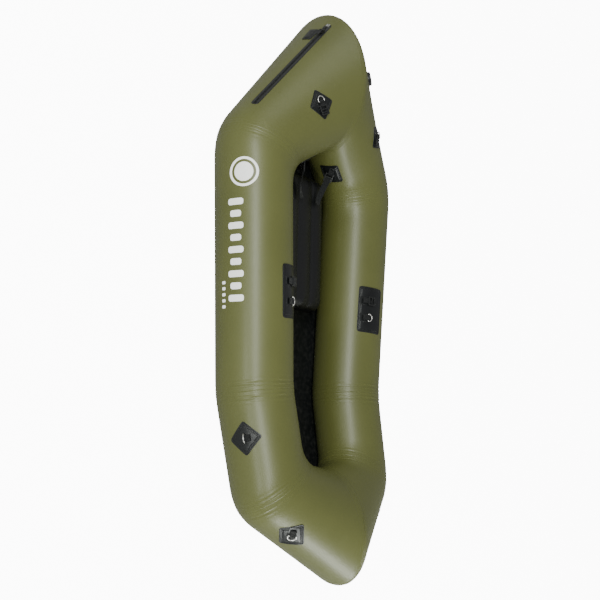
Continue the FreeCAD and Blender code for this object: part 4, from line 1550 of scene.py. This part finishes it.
# %% Slider, pull, end stop and dock
rounded_moulding("zip_slider_moulding", "zip_slider", black_plastic, "zip_slider", 0.00045)
rounded_moulding("zip_pull_moulding", "zip_puller", black_plastic, "zip_puller", 0.0004)
rounded_moulding("zip_end_stop", "zip_stop", light_metal, "hull", 0.0004)
dock_point, dock_out, _ = straight_spot(-1, 0, 0.235, 20.0)
dock_place = Place(dock_point, dock_out, zip_high - zip_low)
DOCK_TAPER = 2.5
dock_outlines = []
dock_steps = [0, 0, 0.0004, 0.0010, 0.0036, 0.0042, 0.0048, 0.0080, 0.0110, 0.0135]
for inset in dock_steps:
    outline = rounded_outline(0.039 - inset, 0.022 - inset, 0.005 - inset)
    outline[:, 1] *= 1.0 + DOCK_TAPER * outline[:, 0]
    dock_outlines.append(outline)
dock_heights = [-0.0008, 0.0010, 0.0019, 0.0023, 0.0024, 0.0018, 0.0024, 0.0026, 0.0046, 0.0050]
zip_dock = skin_patch("zip_dock_pad", dock_place, dock_outlines, dock_heights, seal_rubber)
claim(zip_dock, node="zip_dock")
print("zip fittings: slider, pull, end stop and a dock of", len(zip_dock.data.polygons), "faces")

# %% [markdown]
# ## Valves
# Both valves are turned parts: a flange glued to the cloth, a neck, and a screw cap with a
# ribbed edge for wet hands. A profile is spun around the valve's axis, and the cap's ribs come
# from letting the radius swing a little with the angle.

# %% Spin the valve parts
MM = 0.001
GRIP_DEPTH = 0.0009


def turned_piece(name, place, profile, node, body, closed=False, grips=0, grip_band=(0, 0)):
    """A profile of (radius, height) in millimetres, spun around a place's z axis."""
    around = max(96, grips * 6)
    low, high = (edge * MM for edge in grip_band)
    points = []
    for radius, height in ((r * MM, h * MM) for r, h in profile):
        for a in np.linspace(0, 2 * math.pi, around, endpoint=False):
            swing = 0.0
            if grips and low <= height <= high:
                swing = -GRIP_DEPTH * (0.5 - 0.5 * math.cos(grips * a)) ** 2
            points.append(place.at((radius + swing) * math.cos(a), (radius + swing) * math.sin(a), height))
    rows = len(profile)
    faces = strip_faces(rows, around, closed=closed)
    if not closed:
        faces.append(tuple(range(around)))
        faces.append(tuple((rows - 1) * around + column for column in range(around)))
    piece = tidy_normals(add_piece(name, points, faces, None, black_plastic))
    piece.data.set_sharp_from_angle(angle=math.radians(50))
    return claim(piece, body, node)


valve_spot = place_on(1, 0, 0.195, 81.0)
valve_profile = [
    (30, -3), (30, 0.9), (29.8, 1.6), (29.2, 2.2), (28.2, 2.7), (27.0, 3.0), (24, 3.1), (20.3, 3.1),
    (20.0, 3.5), (20.0, 9.3), (19.6, 9.9), (18.8, 10.0), (12.0, 10.0), (11.2, 9.7), (11.0, 9.0),
    (11.0, -13.6), (12, -14), (20, -14), (20, -3),
]
cap_profile = [
    (20.6, 3.6), (26.4, 3.6), (26.9, 3.9), (27.0, 4.6), (27.0, 8.2), (26.8, 9.0), (26.2, 9.8),
    (25.2, 10.4), (23.6, 10.9), (21.0, 11.3), (20.4, 11.0), (19.6, 11.0), (19.0, 11.5),
    (14.0, 12.1), (7.0, 12.45), (1.0, 12.5),
]
turned_piece("valve_seat_flange", valve_spot, valve_profile, "valve_body", "hull", closed=True)
turned_piece(
    "valve_screw_cap", valve_spot, cap_profile, "valve_cap", "valve_cap", grips=24, grip_band=(4.2, 9.2)
)
seat_valve_spot = Place((SEAT_LOW[0] - 0.0001, 0, SEAT_MIDDLE[2]), (-1, 0, 0), (0, 0, 1))
small_profile = [
    (15, -2), (15, 1.6), (14.7, 2.4), (14, 2.9), (13, 3), (9.4, 3), (9, 3.4), (9, 11.6),
    (8.6, 12), (1, 12),
]
small_cap = [
    (9.6, 5.1), (11.2, 5.1), (11.6, 5.5), (11.6, 11.8), (11.3, 12.9), (10.6, 13.6), (9.4, 13.9),
    (1, 14),
]
turned_piece("seat_valve_neck", seat_valve_spot, small_profile, "seat_valve", "hull")
turned_piece(
    "seat_valve_screw_cap", seat_valve_spot, small_cap, "seat_valve_cap", "seat_valve_cap",
    grips=16, grip_band=(5.3, 12),
)
plunger = frame["nodes"]["valve_plunger"]
plunger.data.materials.clear()
plunger.data.materials.append(seal_rubber)
print("screw caps:", how_many("screw_cap"))

# %% [markdown]
# ## A plain print
# A white mark breaks up the long side of the tube. This one is only a disc with a ring, a row of
# plain rounded bars and five small ticks, laid as a film 0.2 mm thick that follows the skin. The
# ink is also given a faint glow, a painted light that keeps it the brightest thing on the boat.

# %% Print material and shapes
print_ink = skin_material(
    "white print film",
    (0.90, 0.90, 0.88),
    (0.82, 0.82, 0.79),
    rough=0.42,
    weave_scale=420.0,
    weave_height=0.3,
    scuff_colour=(0.42, 0.41, 0.30),
    scuff_amount=0.5,
    scuff_size=60.0,
)
print_shader = print_ink.node_tree.nodes["Principled BSDF"]
# Painted light: this emission makes the white print glow a little, so it stays bright whatever the lamps do.
print_shader.inputs["Emission Color"].default_value = (1, 1, 1, 1)
print_shader.inputs["Emission Strength"].default_value = 0.45
FILM = 0.00022
SUNK = -0.0003


def film(name, place, outlines, filled=True):
    heights = [SUNK] + [FILM] * (len(outlines) - 1)
    if not filled:
        heights[-1] = SUNK
    return claim(skin_patch(name, place, outlines, heights, print_ink, filled))


def bar_outlines(length, width, corner):
    steps = [0, 0.0001, 0.001, 0.003]
    return [rounded_outline(length / 2 - s, width / 2 - s, corner - s, edge=10, arc=6) for s in steps]


def circle(radius):
    turns = np.linspace(0, 2 * math.pi, 96, endpoint=False)
    return np.stack([radius * np.cos(turns), radius * np.sin(turns)], axis=1)


badge = place_on(-1, 1, 0.190, 27.0)
film("print_disc", badge, [circle(r) for r in (0.034, 0.0339, 0.031)])
ring_radii = (0.052, 0.0519, 0.049, 0.046, 0.0431, 0.043)
film("print_ring", badge, [circle(r) for r in ring_radii], filled=False)
BAR_COUNT, TICK_COUNT = 9, 5
for index in range(BAR_COUNT):
    share = 0.305 + index * 0.0445
    spot = place_on(-1, 1, share, 14.5)
    tall = 0.058 if index % 2 == 0 else 0.042
    film(f"print_bar_{index + 1}", spot, bar_outlines(0.023, tall, 0.0085))
for index in range(TICK_COUNT):
    spot = place_on(-1, 1, 0.600 + index * 0.022, -7.0)
    film(f"print_tick_{index + 1}", spot, bar_outlines(0.011, 0.017, 0.004))
print("print pieces:", how_many("print_"))

# %% [markdown]
# ## Studio
# A plain white floor, far wider than the view, and five soft boxes. The long key box stands high on
# the starboard side and draws the light strip down each tube. A strong box before the bow lights
# the front, and three weak ones fill the low side, the stern and the port side. The floor and the
# surround glow for the camera only: a Light Path node asks which ray is looking. What reaches the
# boat is a dim white, so the shaded cloth keeps its colour.

# %% Floor and surround
FLOOR_HALF, FLOOR_LEVEL = 60.0, -0.002
CAMERA_GLOW = 11.0
ROOM_LIGHT = 0.30
floor_mesh = bpy.data.meshes.new("studio_floor")
CORNER_SIGNS = ((-1, -1), (1, -1), (1, 1), (-1, 1))
floor_corners = [(x * FLOOR_HALF, y * FLOOR_HALF, FLOOR_LEVEL) for x, y in CORNER_SIGNS]
floor_mesh.from_pydata(floor_corners, [], [(0, 1, 2, 3)])
studio_floor = bpy.data.objects.new("studio_floor", floor_mesh)
bpy.context.scene.collection.objects.link(studio_floor)
paper, tree, shader, place_node = new_look("white paper")
mottle = put(tree, "ShaderNodeTexNoise", [("Vector", place_node.outputs["Object"])], sockets={"Scale": 3.0})
tone = ramp(tree, mottle.outputs["Fac"], [(0.3, 0.40), (0.7, 0.42)])
tree.links.new(tone.outputs["Color"], shader.inputs["Base Color"])
shader.inputs["Roughness"].default_value = 0.9
shader.inputs["Specular IOR Level"].default_value = 0.1
shader.inputs["Emission Color"].default_value = (1, 1, 1, 1)
seen = put(tree, "ShaderNodeLightPath")
lit_paper = put(
    tree,
    "ShaderNodeMath",
    [(0, seen.outputs["Is Camera Ray"])],
    operation="MULTIPLY",
    sockets={1: CAMERA_GLOW},
)
tree.links.new(lit_paper.outputs[0], shader.inputs["Emission Strength"])
floor_mesh.materials.append(paper)

world = bpy.data.worlds.new("studio")
bpy.context.scene.world = world
world.use_nodes = True
sky = world.node_tree
sky.nodes["Background"].inputs["Color"].default_value = (1.0, 1.0, 1.0, 1)
seen_sky = put(sky, "ShaderNodeLightPath")
glow = put(
    sky,
    "ShaderNodeMath",
    [(0, seen_sky.outputs["Is Camera Ray"])],
    operation="MULTIPLY_ADD",
    sockets={1: CAMERA_GLOW, 2: ROOM_LIGHT},
)
sky.links.new(glow.outputs[0], sky.nodes["Background"].inputs["Strength"])
print("floor", 2 * FLOOR_HALF, "m wide")

# %% Lights
LAMP_COLOUR = (0.96, 1.0, 0.95)


def soft_box(name, position, look_at, width, length, power, along=(1, 0, 0)):
    """An area light that faces a point, with its long side along a given direction."""
    data = bpy.data.lights.new(name, "AREA")
    data.shape = "RECTANGLE"
    data.size = length
    data.size_y = width
    data.energy = power
    data.color = LAMP_COLOUR
    light = bpy.data.objects.new(name, data)
    back = (Vector(position) - Vector(look_at)).normalized()
    side_axis = (Vector(along) - back * back.dot(Vector(along))).normalized()
    up_axis = back.cross(side_axis)
    basis = Matrix((side_axis, up_axis, back)).transposed().to_4x4()
    light.matrix_world = Matrix.Translation(Vector(position)) @ basis
    bpy.context.scene.collection.objects.link(light)


soft_box("key_box", (-0.5, -3.9, 3.7), (0, 0, 0.2), 1.2, 4.6, 262)
soft_box("bow_box", (3.7, 0.1, 1.2), (0.8, 0, 0.25), 1.0, 2.1, 90, along=(0, 1, 0))
soft_box("low_side_box", (1.1, -3.9, 1.25), (0.7, 0, 0.2), 0.7, 1.4, 36)
soft_box("stern_box", (-3.8, -0.3, 2.2), (-0.6, 0, 0.3), 2.2, 2.8, 24, along=(0, 1, 0))
soft_box("port_box", (2.8, 2.8, 1.7), (0.7, 0, 0.2), 1.2, 1.6, 24, along=(1, -1, 0))
